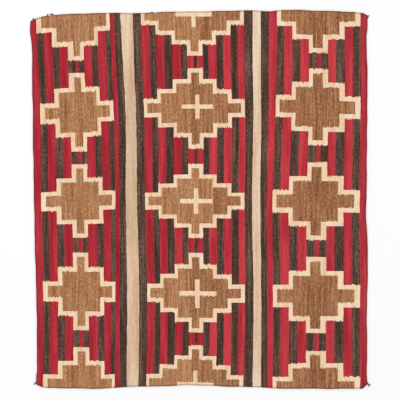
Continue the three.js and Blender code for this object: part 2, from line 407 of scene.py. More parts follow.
class NodeGraph:
    """Lays nodes in one tree and joins them."""

    def __init__(self, tree: bpy.types.NodeTree) -> None:
        """Takes the tree to lay nodes in."""
        self.tree = tree

    def feed(self, socket: Socket, value: object) -> None:
        """Joins a socket, or sets it to a plain value.

        Args:
            socket: the input.
            value: a socket, a node whose first output is meant, or a plain value.
        """
        if isinstance(value, bpy.types.NodeSocket):
            self.tree.links.new(value, socket)
        elif isinstance(value, bpy.types.Node):
            self.tree.links.new(value.outputs[0], socket)
        else:
            socket.default_value = value

    def add(self, kind: str, feeds: dict | None = None, **settings: object) -> bpy.types.Node:
        """Adds a node.

        Args:
            kind: the node's type name.
            feeds: values or sockets for its inputs, by name or number.
            settings: the node's own properties.

        Returns:
            The node.
        """
        node = self.tree.nodes.new(kind)
        for name, value in settings.items():
            setattr(node, name, value)
        for key, value in (feeds or {}).items():
            self.feed(node.inputs[key], value)
        return node

    def math(self, operation: str, *values: object, clamp: bool = False) -> Socket:
        """A Math node's result.

        Args:
            operation: what the node does.
            values: values or sockets for its inputs, in order.
            clamp: whether the result is held between 0 and 1.

        Returns:
            The result.
        """
        node = self.add("ShaderNodeMath", operation=operation, use_clamp=clamp)
        for socket, value in zip(node.inputs, values):
            self.feed(socket, value)
        return node.outputs[0]

    def plus(self, first: object, second: object) -> Socket:
        """The sum of two numbers."""
        return self.math("ADD", first, second)

    def minus(self, first: object, second: object) -> Socket:
        """The first number less the second."""
        return self.math("SUBTRACT", first, second)

    def times(self, first: object, second: object) -> Socket:
        """The product of two numbers."""
        return self.math("MULTIPLY", first, second)

    def over(self, first: object, second: object) -> Socket:
        """The first number shared by the second."""
        return self.math("DIVIDE", first, second)

    def times_plus(self, value: object, factor: object, rest: object) -> Socket:
        """A number times a factor, plus the rest."""
        return self.math("MULTIPLY_ADD", value, factor, rest)

    def vector(self, operation: str, *values: object) -> Socket:
        """A Vector Math node's vector.

        Args:
            operation: what the node does.
            values: values or sockets for its inputs, in order.

        Returns:
            The vector.
        """
        node = self.add("ShaderNodeVectorMath", operation=operation)
        for socket, value in zip(node.inputs, values):
            self.feed(socket, value)
        return node.outputs["Vector"]

    def scale(self, value: object, factor: object) -> Socket:
        """A vector or colour made larger or smaller."""
        node = self.add("ShaderNodeVectorMath", {0: value, "Scale": factor}, operation="SCALE")
        return node.outputs["Vector"]

    def stretch(self, place: object, across: float, along: float, up: float = 0.0) -> Socket:
        """A place with its three parts multiplied."""
        return self.vector("MULTIPLY", place, (across, along, up))

    def split(self, value: object) -> tuple[Socket, Socket, Socket]:
        """The three parts of a vector."""
        return tuple(self.add("ShaderNodeSeparateXYZ", {0: value}).outputs)

    def combine(self, across: object, along: object, up: object = 0.0) -> Socket:
        """A vector from three parts."""
        return self.add("ShaderNodeCombineXYZ", {0: across, 1: along, 2: up}).outputs[0]

    def mix(self, factor: object, first: object, second: object) -> Socket:
        """Two colours mixed."""
        feeds = dict(zip(MIX_INPUTS, (factor, first, second)))
        return self.add("ShaderNodeMix", feeds, data_type="RGBA").outputs[2]

    def spread(
        self, value: object, low: float, high: float, to_low: float = 0.0, to_high: float = 1.0,
    ) -> Socket:
        """A value carried from one range to another, and held inside it."""
        feeds = {"Value": value, "From Min": low, "From Max": high, "To Min": to_low, "To Max": to_high}
        return self.add("ShaderNodeMapRange", feeds).outputs[0]

    def noise(self, place: object, detail: float = 2.0, roughness: float = 0.55) -> Socket:
        """A smooth noise between about 0.25 and 0.75, one unit to a feature."""
        feeds = {"Vector": place, "Scale": 1.0, "Detail": detail, "Roughness": roughness}
        return self.add("ShaderNodeTexNoise", feeds).outputs[0]

    def attribute(self, name: str, output: str = "Vector") -> Socket:
        """A mesh attribute in a material."""
        return self.add("ShaderNodeAttribute", attribute_name=name).outputs[output]

    def stepped_ramp(self, place: object, marks: list[tuple[float, tuple]]) -> Socket:
        """A ramp that holds one colour from each mark to the next.

        Args:
            place: where to read, from 0 to 1.
            marks: each mark, from 0 to 1, and the colour from there on.

        Returns:
            The colour.
        """
        ramp = self.add("ShaderNodeValToRGB", {0: place})
        ramp.color_ramp.interpolation = "CONSTANT"
        elements = ramp.color_ramp.elements
        elements.remove(elements[1])
        for number, (mark, colour) in enumerate(marks):
            element = elements[0] if number == 0 else elements.new(mark)
            element.position = mark
            element.color = (*colour, 1.0)
        return ramp.outputs[0]


def numbers(*names: str) -> dict[str, str]:
    """Sockets of a group that carry numbers."""
    return dict.fromkeys(names, "number")


class GroupTree(NodeGraph):
    """A node group with named sockets."""

    KINDS = {
        "number": "NodeSocketFloat",
        "whole": "NodeSocketInt",
        "vector": "NodeSocketVector",
        "colour": "NodeSocketColor",
        "geometry": "NodeSocketGeometry",
        "material": "NodeSocketMaterial",
    }

    def __init__(self, name: str, kind: str, takes: dict[str, str], gives: dict[str, str]) -> None:
        """Makes the group.

        Args:
            name: the group's name.
            kind: the tree's type.
            takes: its inputs, name to sort.
            gives: its outputs, name to sort.
        """
        super().__init__(bpy.data.node_groups.new(name, kind))
        for label, sort in takes.items():
            self.tree.interface.new_socket(label, in_out="INPUT", socket_type=self.KINDS[sort])
        for label, sort in gives.items():
            self.tree.interface.new_socket(label, in_out="OUTPUT", socket_type=self.KINDS[sort])
        self.labels = tuple(takes)
        self.source = self.tree.nodes.new("NodeGroupInput")
        self.target = self.tree.nodes.new("NodeGroupOutput")

    def taken(self, label: str) -> Socket:
        """One of the group's inputs, seen from inside."""
        return self.source.outputs[label]

    def all_taken(self) -> list[Socket]:
        """All of the group's inputs, seen from inside, in order."""
        return [self.taken(label) for label in self.labels]

    def give(self, label: str, value: object) -> None:
        """Feeds one of the group's outputs."""
        self.feed(self.target.inputs[label], value)


def place_group(graph: NodeGraph, group: bpy.types.NodeTree, feeds: dict) -> bpy.types.Node:
    """Places a shader group in a graph and feeds its inputs.

    Args:
        graph: where it goes.
        group: the group.
        feeds: values or sockets for its inputs, by name.

    Returns:
        The group's node.
    """
    node = graph.tree.nodes.new("ShaderNodeGroup")
    node.node_tree = group
    for label, value in feeds.items():
        graph.feed(node.inputs[label], value)
    return node


class WoolShading:
    """The shader groups that the rug's wools share."""

    SHADER = "ShaderNodeTree"
    # A join along the rug wanders by so many millimetres, over so many patches to the
    # millimetre across and along. The teeth of a level join have this width and vary by this
    # much, in millimetres.
    WANDER_REACH = 6.0
    WANDER_PATCHES = (0.03, 0.02)
    TOOTH_WIDTH = 4.4
    TOOTH_REACH = 3.0
    # The shots waver by so many of their pairs, over so many patches to the millimetre, and
    # they stand this much higher in the middle of a rib. Their fibres come so many to the
    # millimetre and have this height, and this much painted shade, which darkens the colour
    # where they lie lower.
    WAVER_SHOTS = 6.0
    WAVER_PATCHES = (0.05, 0.02)
    RIB_ARCH = 0.6
    FIBRE_PATCHES = (2.2, 0.8)
    FIBRE_HEIGHT = 0.45
    FIBRE_PAINTED_SHADING = 0.4
    # A spun ply has this many fibres round it, which stand this high and vary so often in
    # each turn, along it and around it.
    PLY_FIBRES = 3.0
    PLY_RIDGE = 0.35
    PLY_PATCHES = (2.0, 4.0)

    def __init__(self) -> None:
        """Builds every group once."""
        self.dyed = self._dyed_wool()
        self.handspun = self._handspun()
        self.weave = self._weave_height()
        self.twist = self._yarn_twist()
        self.box = self._chart_box()
        self.chart = self._tapestry_chart()

    def _dyed_wool(self) -> bpy.types.NodeTree:
        """A colour between a wool's deep, middle and pale yarns.

        Returns:
            The group, which gives the colour at a value from 0 to 1.
        """
        takes = dict.fromkeys(("Deep", "Middle", "Pale"), "colour") | numbers("Value")
        group = GroupTree("Dyed wool", self.SHADER, takes, {"Colour": "colour"})
        deep, middle, pale, value = group.all_taken()
        deep_half = group.mix(group.spread(value, 0.0, 0.5), deep, middle)
        group.give("Colour", group.mix(group.spread(value, 0.5, 1.0), deep_half, pale))
        return group.tree

    def _handspun(self) -> bpy.types.NodeTree:
        """Uneven spinning and dyeing: carded fleece, long streaks, dye batches and stray specks.

        Returns:
            The group, which gives each of them as a number from 0 to 1.
        """
        takes = {"Loom": "vector", "Seed": "number"}
        group = GroupTree("Handspun wool", self.SHADER, takes, numbers(*UNEVENNESS))
        loom, seed = group.all_taken()
        shift = group.combine(0.0, 0.0, seed)
        for name, kind in UNEVENNESS.items():
            scaled = group.stretch(loom, 1 / kind.across, 1 / kind.along)
            found = group.noise(group.vector("ADD", scaled, shift), kind.detail, kind.roughness)
            group.give(name, group.spread(found, kind.low, kind.high))
        return group.tree

    def _weave_height(self) -> bpy.types.NodeTree:
        """Height of the wefts over the warp ribs: each shot humps over every other rib.

        Returns:
            The group, which gives the height and a painted shade: how much lighter the colour is made
            where the weave stands higher.
        """
        takes = {"Loom": "vector", "Shot": "number"}
        group = GroupTree("Weft faces", self.SHADER, takes, numbers("Height", "Painted shading"))
        loom, shot = group.all_taken()
        across, _, rib = group.split(loom)
        waver = group.noise(group.stretch(loom, *self.WAVER_PATCHES), 1.0)
        parity = group.math("FRACT", group.times(group.math("FLOOR", rib), 0.5))
        wavered = group.times_plus(waver, self.WAVER_SHOTS, group.over(across, shot))
        phase = group.times(group.plus(wavered, parity), 2 * math.pi)
        hump = group.times_plus(group.math("COSINE", phase), 0.5, 0.5)
        arch = group.math("SINE", group.times(group.math("FRACT", rib), math.pi))
        fibre = group.noise(group.stretch(loom, *self.FIBRE_PATCHES), roughness=FIBROUS)
        body = group.times(hump, group.times_plus(arch, self.RIB_ARCH, 1 - self.RIB_ARCH))
        # Painted shade: the colour is made darker where the weave and its fibres lie lower.
        fibre_painted_shading = group.times_plus(fibre, self.FIBRE_PAINTED_SHADING, 1 - self.FIBRE_PAINTED_SHADING / 2)
        group.give("Height", group.times_plus(fibre, self.FIBRE_HEIGHT, body))
        group.give("Painted shading", group.times(body, fibre_painted_shading))
        return group.tree

    def _yarn_twist(self) -> bpy.types.NodeTree:
        """Height of the fibres that wind round a spun ply.

        Returns:
            The group, which gives the height and a number for each fibre's colour.
        """
        takes = numbers("Run", "Around", "Lay")
        group = GroupTree("Spun ply", self.SHADER, takes, numbers("Height", "Fibre"))
        run, around, lay = group.all_taken()
        turns = group.over(run, lay)
        wound = group.times_plus(around, self.PLY_FIBRES, turns)
        ridge = group.math("SINE", group.times(wound, 2 * math.pi))
        place = group.stretch(group.combine(turns, wound), *self.PLY_PATCHES)
        fibre = group.noise(place, roughness=FIBROUS)
        group.give("Height", group.times_plus(ridge, self.PLY_RIDGE, fibre))
        group.give("Fibre", group.spread(fibre, *NOISE_RANGE))
        return group.tree

    def _chart_box(self) -> bpy.types.NodeTree:
        """Distance outside an upright box of the chart, below zero within it.

        Returns:
            The group, which gives the distance.
        """
        takes = numbers("Across", "Along", "Middle", "Half width", "Half height", "Stretch")
        group = GroupTree("Chart box", self.SHADER, takes, numbers("Distance"))
        across, along, middle, half_width, half_height, stretch = group.all_taken()
        sideways = group.minus(group.math("ABSOLUTE", group.minus(across, middle)), half_width)
        upwards = group.minus(group.math("ABSOLUTE", along), half_height)
        group.give("Distance", group.math("MAXIMUM", sideways, group.times(upwards, stretch)))
        return group.tree

    def _boxed(
        self, graph: NodeGraph, across: Socket, along: Socket, sizes: tuple, stretch: float = 1.0,
    ) -> Socket:
        """Distance outside one box of the chart.

        Args:
            graph: where the nodes go.
            across: place across the chart.
            along: place along the chart from the box's middle.
            sizes: the box's middle, half width and half height.
            stretch: how much a distance along counts against one across.

        Returns:
            The distance, below zero inside.
        """
        feeds = {"Across": across, "Along": along, "Stretch": stretch}
        feeds |= dict(zip(("Middle", "Half width", "Half height"), sizes))
        return place_group(graph, self.box, feeds).outputs[0]

    def _stripe_ramp(self, graph: NodeGraph, across: Socket, start: float, stripes: tuple) -> Socket:
        """The stripes of one run as a stepped ramp.

        Args:
            graph: where the nodes go.
            across: place across the chart.
            start: where the run begins.
            stripes: its stripes, left to right.

        Returns:
            A colour: charcoal's share in red, cream's share in green, the tone in blue.
        """
        width, edge = run_width(stripes), 0.0
        marks = []
        for stripe in stripes:
            shares = (float(stripe.wool is wool) for wool in (Wool.CHARCOAL, Wool.CREAM))
            marks.append((edge / width, (*shares, stripe.tone)))
            edge += stripe.width
        return graph.stepped_ramp(graph.spread(across, start, start + width), marks)

    def _field_ramp(self, group: GroupTree, across: Socket) -> Socket:
        """How russet the medallions' tan is.

        Args:
            group: the chart's group.
            across: place across the chart.

        Returns:
            A number from 0 for golden to 1 for russet.
        """
        _, _, russet_start = group.split(group.taken("Emblem size"))
        beyond = group.minus(across, russet_start)
        side_place = group.over(across, CHART_WIDTH)
        middle_place = group.times_plus(beyond, 1 / MIDDLE_TAN_RUN, 0.5)
        sides, middle = (
            group.stepped_ramp(place, [(mark / span, (share,) * 3) for mark, share in tans])
            for place, span, tans in (
                (side_place, CHART_WIDTH, SIDE_TANS), (middle_place, MIDDLE_TAN_RUN, MIDDLE_TANS),
            )
        )
        past_left = group.math("GREATER_THAN", across, CENTRE_RUN_START)
        before_right = group.math("LESS_THAN", across, RIGHT_RUN_START)
        return group.mix(group.times(past_left, before_right), sides, middle)

    def _joins(self, group: GroupTree) -> tuple[Socket, Socket, Socket]:
        """Where a place lies in the chart once its joins are woven.

        A colour join along the rug wanders a little, and a level one steps from rib to rib.

        Args:
            group: the chart's group.

        Returns:
            The place across, the plain place along and the stepped one.
        """
        across, along, _ = group.split(group.taken("Chart"))
        patches = (group.times(part, size) for part, size in zip((across, along), self.WANDER_PATCHES))
        wander = group.minus(group.noise(group.combine(*patches)), 0.5)
        across = group.times_plus(wander, self.WANDER_REACH, across)
        within = group.minus(group.math("FRACT", group.taken("Rib")), 0.5)
        level = group.minus(along, group.times(within, group.taken("Rib pitch")))
        bundle = group.combine(
            group.math("FLOOR", group.over(across, self.TOOTH_WIDTH)),
            group.math("FLOOR", group.over(along, ROW_PITCH / 2)),
        )
        tooth = group.add("ShaderNodeTexWhiteNoise", {0: bundle}, noise_dimensions="2D").outputs["Value"]
        return across, along, group.times_plus(group.minus(tooth, 0.5), self.TOOTH_REACH, level)

    def _tapestry_chart(self) -> bpy.types.NodeTree:
        """The weaver's chart: which wool shows at a place on the loom.

        Returns:
            The group, which gives the share of each wool, the stripe's tone and how russet its tan is.
        """
        takes = dict.fromkeys(("Chart", "Emblem", "Emblem size"), "vector") | numbers("Rib", "Rib pitch")
        gives = numbers("Charcoal", "Cream", "Ivory", "Tan", "Tone", "Russet")
        group = GroupTree("Tapestry chart", self.SHADER, takes, gives)
        across, along, level = self._joins(group)
        row = group.math("ROUND", group.over(along, ROW_PITCH))
        rise = group.minus(level, group.times(row, ROW_PITCH))
        beyond_top = group.minus(level, ROW_PITCH * (ROW_COUNT - 1) / 2)
        cut_rise, bar_rise = (
            group.minus(rise, group.math("MAXIMUM", 0.0, group.minus(beyond_top, cut)))
            for cut in (TOP_ROW_CUT, TOP_BAR_CUT)
        )

        runs = (
            (0.0, LEFT_RUN, LEFT_PANEL, LEFT_PANEL_START),
            (CENTRE_RUN_START, CENTRE_RUN, CENTRE_PANEL, CENTRE_RUN_START),
            (RIGHT_RUN_START, RIGHT_RUN, RIGHT_PANEL, RIGHT_PANEL_START),
        )
        stripes, ivory, field_share = None, 0.0, 0.0
        for run_start, run, panel, panel_start in runs:
            ramp = self._stripe_ramp(group, across, run_start, run)
            begun = group.math("GREATER_THAN", across, run_start)
            stripes = ramp if stripes is None else group.mix(begun, stripes, ramp)
            outer, inner = (
                self._medallion(group, across, cut_rise, panel, panel_start, lean)
                for lean in (0.0, panel.outline_lean)
            )
            deep = group.math("LESS_THAN", inner, -panel.outline_across)
            edge = group.minus(group.math("LESS_THAN", outer, 0.0), deep)
            ivory = group.plus(ivory, edge)
            field_share = group.plus(field_share, deep)

        cross = self._cross(group, across, bar_rise)
        stripe_parts = group.add("ShaderNodeSeparateColor", {0: stripes})
        for label, part in zip(("Charcoal", "Cream", "Tone"), stripe_parts.outputs):
            group.give(label, part)
        group.give("Ivory", group.math("MAXIMUM", ivory, cross))
        group.give("Tan", group.math("SUBTRACT", field_share, cross, clamp=True))
        group.give("Russet", self._field_ramp(group, across))
        return group.tree

    def _cross(self, group: GroupTree, across: Socket, rise: Socket) -> Socket:
        """The ivory crosses of the middle medallions.

        Args:
            group: the chart's group.
            across: place across the chart.
            rise: place along the chart from the medallion's middle.

        Returns:
            A number that is 1 inside a cross and 0 outside it.
        """
        shift_across, shift_along, bar = group.split(group.taken("Emblem"))
        stem, thickness, _ = group.split(group.taken("Emblem size"))
        aside, above = group.minus(across, shift_across), group.minus(rise, shift_along)
        half = group.times(thickness, 0.5)
        arms = (
            self._boxed(group, aside, above, (EMBLEM_MIDDLE, *reach))
            for reach in ((bar, half), (half, stem))
        )
        return group.math("LESS_THAN", group.math("MINIMUM", *arms), 0.0)

    def _medallion(
        self, graph: NodeGraph, across: Socket, rise: Socket, panel: Panel, start: float, lean: float,
    ) -> Socket:
        """Distance outside the stepped medallions of one panel.

        Args:
            graph: where the nodes go.
            across: place across the chart.
            rise: place along the chart from the medallion's middle.
            panel: the panel.
            start: where the panel begins in the chart.
            lean: how far to the right the medallion is moved.

        Returns:
            The distance, below zero inside.
        """
        stretch = panel.outline_across / panel.outline_along
        distance = None
        for middle, half_width, half_height in panel.steps(start):
            sizes = (middle + lean, half_width, half_height)
            step = self._boxed(graph, across, rise, sizes, stretch)
            distance = step if distance is None else graph.math("MINIMUM", distance, step)
        return distance

    def dye(self, graph: NodeGraph, wool: Dye, value: object) -> Socket:
        """A dyed wool's colour at a value from deep to pale."""
        feeds = {"Deep": wool.deep, "Middle": wool.middle, "Pale": wool.pale, "Value": value}
        return place_group(graph, self.dyed, feeds).outputs[0]


class RugMaterials:
    """The rug's materials, each with its own shader and the groups that they share."""

    # How far from the middle the cream bands begin to fade and end fading, in millimetres, and
    # how much paler they are there.
    FADE_RUN = (600.0, 830.0)
    FADE = 0.3
    # How far a dye batch can turn a golden tan russet, and how strongly a stray speck shows.
    BATCH_TURN = 0.7
    SPECK_SHARE = 0.25
    # Width of a pair of shots of weft in millimetres, and the lay of a yarn and a ply in metres.
    SHOT = 1.3
    YARN_LAY = 1.2 * MM
    PLY_LAY = 2.6 * MM
    # The body of weft that is painted fully lit, and the painted shade of the cloth and of a lone
    # yarn: how light their colour is made where they lie deepest and highest.
    LIT_BODY = 0.8
    CLOTH_PAINTED_SHADING = (0.93, 1.03)
    YARN_PAINTED_SHADING = (0.86, 1.04)
    # Worn patches of a cord to the metre, how pale they are, and how pale a fibre is.
    WORN_PATCHES = 60.0
    WORN_SHARE = 0.6
    FIBRE_SHARE = 0.5

    def __init__(self, shading: WoolShading, finish: WoolFinish) -> None:
        """Builds every material.

        Args:
            shading: the shared shader groups.
            finish: how wool takes the light.
        """
        self.shading = shading
        self.finish = finish
        self.weft = self._weft_wool("weft_wool", True)
        self.turns = self._weft_wool("weft_turn_wool", False)
        self.side_cord = self._cord_wool("side_cord_wool", WINE_BROWN)
        self.end_cord = self._cord_wool("end_cord_wool", WINE)
        self.tassel = self._cord_wool("tassel_wool", WINE_BROWN)

    def _new(self, name: str) -> tuple[bpy.types.Material, NodeGraph, bpy.types.Node]:
        """A wool material with its shader's constant values set on its own sockets.

        Args:
            name: the material's name.

        Returns:
            The material, its graph and its shader.
        """
        material = bpy.data.materials.new(name)
        material.use_nodes = True
        graph = NodeGraph(material.node_tree)
        shader = material.node_tree.nodes["Principled BSDF"]
        shader.inputs["Roughness"].default_value = self.finish.roughness
        shader.inputs["Sheen Weight"].default_value = self.finish.sheen
        shader.inputs["Sheen Roughness"].default_value = self.finish.sheen_roughness
        shader.inputs["Specular IOR Level"].default_value = self.finish.specular
        return material, graph, shader

    def _bump(self, graph: NodeGraph, shader: bpy.types.Node, height: Socket, reach: float) -> None:
        """Gives a shader a relief of the given reach in metres."""
        feeds = {"Strength": self.finish.relief_strength, "Distance": reach, "Height": height}
        graph.feed(shader.inputs["Normal"], graph.add("ShaderNodeBump", feeds))

    def _spun(self, graph: NodeGraph, lay: float) -> bpy.types.bpy_prop_collection:
        """The height and fibre of a spun yarn or ply whose twist has the given lay in metres."""
        feeds = {"Run": graph.attribute("run", "Fac"), "Around": graph.attribute("around", "Fac")}
        return place_group(graph, self.shading.twist, feeds | {"Lay": lay}).outputs

    def _tapestry_colour(self, graph: NodeGraph, loom: Socket) -> Socket:
        """The colour of the wool that the chart shows at a place on the loom.

        Args:
            graph: where the nodes go.
            loom: the place on the loom.

        Returns:
            The colour.
        """
        _, along, rib = graph.split(loom)
        feeds = {
            "Chart": graph.attribute("chart"), "Emblem": graph.attribute("emblem"),
            "Emblem size": graph.attribute("emblem_size"),
            "Rib": rib, "Rib pitch": RIB_PITCH / MM * RIB_STEP,
        }
        chart = place_group(graph, self.shading.chart, feeds).outputs
        kind = 0.0
        for name, seed in WOOL_SEEDS.items():
            kind = graph.times_plus(chart[name], seed, kind)
        spun = place_group(graph, self.shading.handspun, {"Loom": loom, "Seed": kind}).outputs

        def paleness(wool: Dye) -> Socket:
            """How pale a wool is, from its fleece, streaks, batch and stripe tone.

            Args:
                wool: its dye.

            Returns:
                A number from 0 for deep to 1 for pale.
            """
            found = 0.5 - (wool.fleece + wool.streak + wool.batch + wool.tone) / 2
            found = graph.times_plus(spun["Fleece"], wool.fleece, found)
            found = graph.times_plus(spun["Streak"], wool.streak, found)
            found = graph.times_plus(spun["Batch"], wool.batch, found)
            return graph.times_plus(chart["Tone"], wool.tone, found)

        crimson, charcoal, ivory, golden, russet = (
            self.shading.dye(graph, wool, paleness(wool))
            for wool in (CRIMSON, CHARCOAL, IVORY, GOLDEN_TAN, RUSSET_TAN)
        )
        faded_ends = graph.spread(graph.math("ABSOLUTE", along), *self.FADE_RUN, 0.0, self.FADE)
        cream_band = self.shading.dye(graph, CREAM, graph.plus(paleness(CREAM), faded_ends))
        turned = graph.times_plus(graph.minus(spun["Batch"], 0.5), self.BATCH_TURN, chart["Russet"])
        tan = graph.mix(graph.spread(turned, 0.0, 1.0), golden, russet)
        colour = crimson
        for name, wool in zip(WOOL_SEEDS, (charcoal, cream_band, ivory, tan)):
            colour = graph.mix(chart[name], colour, wool)
        return graph.mix(graph.times(spun["Speck"], self.SPECK_SHARE), colour, CHARCOAL.deep)

    def _weft_wool(self, name: str, is_cloth: bool) -> bpy.types.Material:
        """The patterned wool of the web, or of the wefts' turns round the side cords.

        Args:
            name: the material's name.
            is_cloth: whether it has the cloth's relief, and not a single yarn's.

        Returns:
            The material.
        """
        material, graph, shader = self._new(name)
        loom = graph.attribute("loom")
        colour = self._tapestry_colour(graph, loom)
        if is_cloth:
            weave = place_group(graph, self.shading.weave, {"Loom": loom, "Shot": self.SHOT}).outputs
            painted_shading = graph.spread(weave["Painted shading"], 0.0, self.LIT_BODY, *self.CLOTH_PAINTED_SHADING)
            height = weave["Height"]
        else:
            yarn = self._spun(graph, self.YARN_LAY)
            painted_shading = graph.spread(yarn["Fibre"], 0.0, 1.0, *self.YARN_PAINTED_SHADING)
            height = yarn["Height"]
        # The base colour carries painted shade, darker where the weave or the yarn's fibres lie lower.
        graph.feed(shader.inputs["Base Color"], graph.scale(colour, painted_shading))
        self._bump(graph, shader, height, self.finish.weft_relief)
        return material

    def _cord_wool(self, name: str, wool: Dye) -> bpy.types.Material:
        """The plied wool of a cord or tassel.

        Args:
            name: the material's name.
            wool: its dye.

        Returns:
            The material.
        """
        material, graph, shader = self._new(name)
        ply = self._spun(graph, self.PLY_LAY)
        place = graph.add("ShaderNodeTexCoord").outputs["Object"]
        patch = graph.noise(graph.stretch(place, *[self.WORN_PATCHES] * 3))
        worn = graph.spread(patch, *NOISE_RANGE, 0.0, self.WORN_SHARE)
        value = graph.times_plus(ply["Fibre"], self.FIBRE_SHARE, worn)
        graph.feed(shader.inputs["Base Color"], self.shading.dye(graph, wool, value))
        self._bump(graph, shader, ply["Height"], self.finish.cord_relief)
        return material


def node_corners(name: str) -> np.ndarray:
    """The vertices of a CAD node in the row frame, one row each."""
    return np.array([vertex.co[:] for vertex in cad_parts[name].data.vertices])


def reached(line: np.ndarray) -> np.ndarray:
    """How far along a line each of its places lies."""
    return np.concatenate([[0.0], np.cumsum(np.linalg.norm(np.diff(line, axis=0), axis=1))])


def smooth_between(marks: np.ndarray, readings: np.ndarray, at: np.ndarray) -> np.ndarray:
    """Readings at set marks, carried smoothly between them and held beyond them.

    Args:
        marks: the marks, rising.
        readings: a reading at each mark.
        at: where to read.

    Returns:
        The reading at each place.
    """
    slopes = np.gradient(readings, marks)
    first = np.clip(np.searchsorted(marks, at) - 1, 0, len(marks) - 2)
    span = marks[first + 1] - marks[first]
    share = np.clip((at - marks[first]) / span, 0.0, 1.0)
    ease = share * share * (3 - 2 * share)
    start = readings[first] * (1 - ease) + readings[first + 1] * ease
    leaving = slopes[first] * span * share * (1 - share) ** 2
    arriving = slopes[first + 1] * span * share * share * (share - 1)
    return start + leaving + arriving


def straight_between(knots: list[tuple[np.ndarray, float]], at: np.ndarray) -> np.ndarray:
    """Readings carried straight between knots, and straight on beyond them.

    Args:
        knots: each knot's mark at every place, and its reading, with the marks rising.
        at: where to read, one for each place.

    Returns:
        The reading at each place.
    """
    found = np.zeros_like(at)
    for number in range(len(knots) - 1):
        (first, first_reading), (last, last_reading) = knots[number], knots[number + 1]
        here = first_reading + (at - first) / (last - first) * (last_reading - first_reading)
        found = np.where((at >= first) | (number == 0), here, found)
    return found


@dataclass
class WebOutline:
    """The web's plan outline, read from its CAD solid, anticlockwise and in metres."""

    points: np.ndarray
    sides: dict[Side, np.ndarray] = field(default_factory=dict)

    @classmethod
    def of_node(cls, name: str) -> "WebOutline":
        """Reads the outline from a CAD node's foot.

        Args:
            name: the node's name.

        Returns:
            The outline, with its sides.
        """
        corners = node_corners(name)
        foot = corners[corners[:, 2] < corners[:, 2].min() + FOOT_SLACK, :2]
        plan = np.unique(foot.round(PLACE_DIGITS), axis=0)
        order = np.argsort(np.arctan2(plan[:, 1], plan[:, 0]))
        outline = cls(plan[order])
        outline._find_sides()
        return outline

    def _find_sides(self) -> None:
        """Cuts the outline at its four corners into sides that run rightwards or upwards."""
        diagonals = ((-1, -1), (1, -1), (1, 1), (-1, 1))
        found = [int(np.argmax(self.points @ np.array(way))) for way in diagonals]
        for number, side in enumerate(Side):
            start, end = found[number], found[(number + 1) % len(found)]
            count = (end - start) % len(self.points)
            line = self.points[(start + np.arange(count + 1)) % len(self.points)]
            self.sides[side] = line if side in (Side.BOTTOM, Side.RIGHT) else line[::-1]

    def along(self, side: Side, shares: np.ndarray) -> np.ndarray:
        """Places on a side.

        Args:
            side: which side.
            shares: how far along it, from 0 to 1.

        Returns:
            The places, one row each.
        """
        line = self.sides[side]
        marks = reached(line)
        return np.stack([np.interp(shares * marks[-1], marks, part) for part in line.T], axis=-1)

    def patch(self, across: np.ndarray, along: np.ndarray) -> np.ndarray:
        """A grid that fits the outline.

        Args:
            across: shares across the cloth, one for each column.
            along: shares along the cloth, one for each row.

        Returns:
            Places in plan, by row and column.
        """
        bottom, top = self.along(Side.BOTTOM, across), self.along(Side.TOP, across)
        left, right = self.along(Side.LEFT, along), self.along(Side.RIGHT, along)
        u, v = across[None, :, None], along[:, None, None]
        level = (1 - v) * bottom[None] + v * top[None]
        upright = (1 - u) * left[:, None] + u * right[:, None]
        lower = (1 - u) * bottom[0] + u * bottom[-1]
        upper = (1 - u) * top[0] + u * top[-1]
        return level + upright - ((1 - v) * lower + v * upper)

    def beside(self, side: Side, distance: float, step: float) -> np.ndarray:
        """A line that keeps a distance outside one side.

        Args:
            side: which side.
            distance: how far outside.
            step: distance between its places.

        Returns:
            The line's places, one row each.
        """
        length = reached(self.sides[side])[-1]
        places = self.along(side, np.linspace(0.0, 1.0, int(length / step) + 1))
        ways = np.gradient(places, axis=0)
        ways /= np.linalg.norm(ways, axis=1, keepdims=True)
        outwards = np.stack([-ways[:, 1], ways[:, 0]], axis=1)
        if side in (Side.BOTTOM, Side.RIGHT):
            outwards = -outwards
        return places + outwards * distance


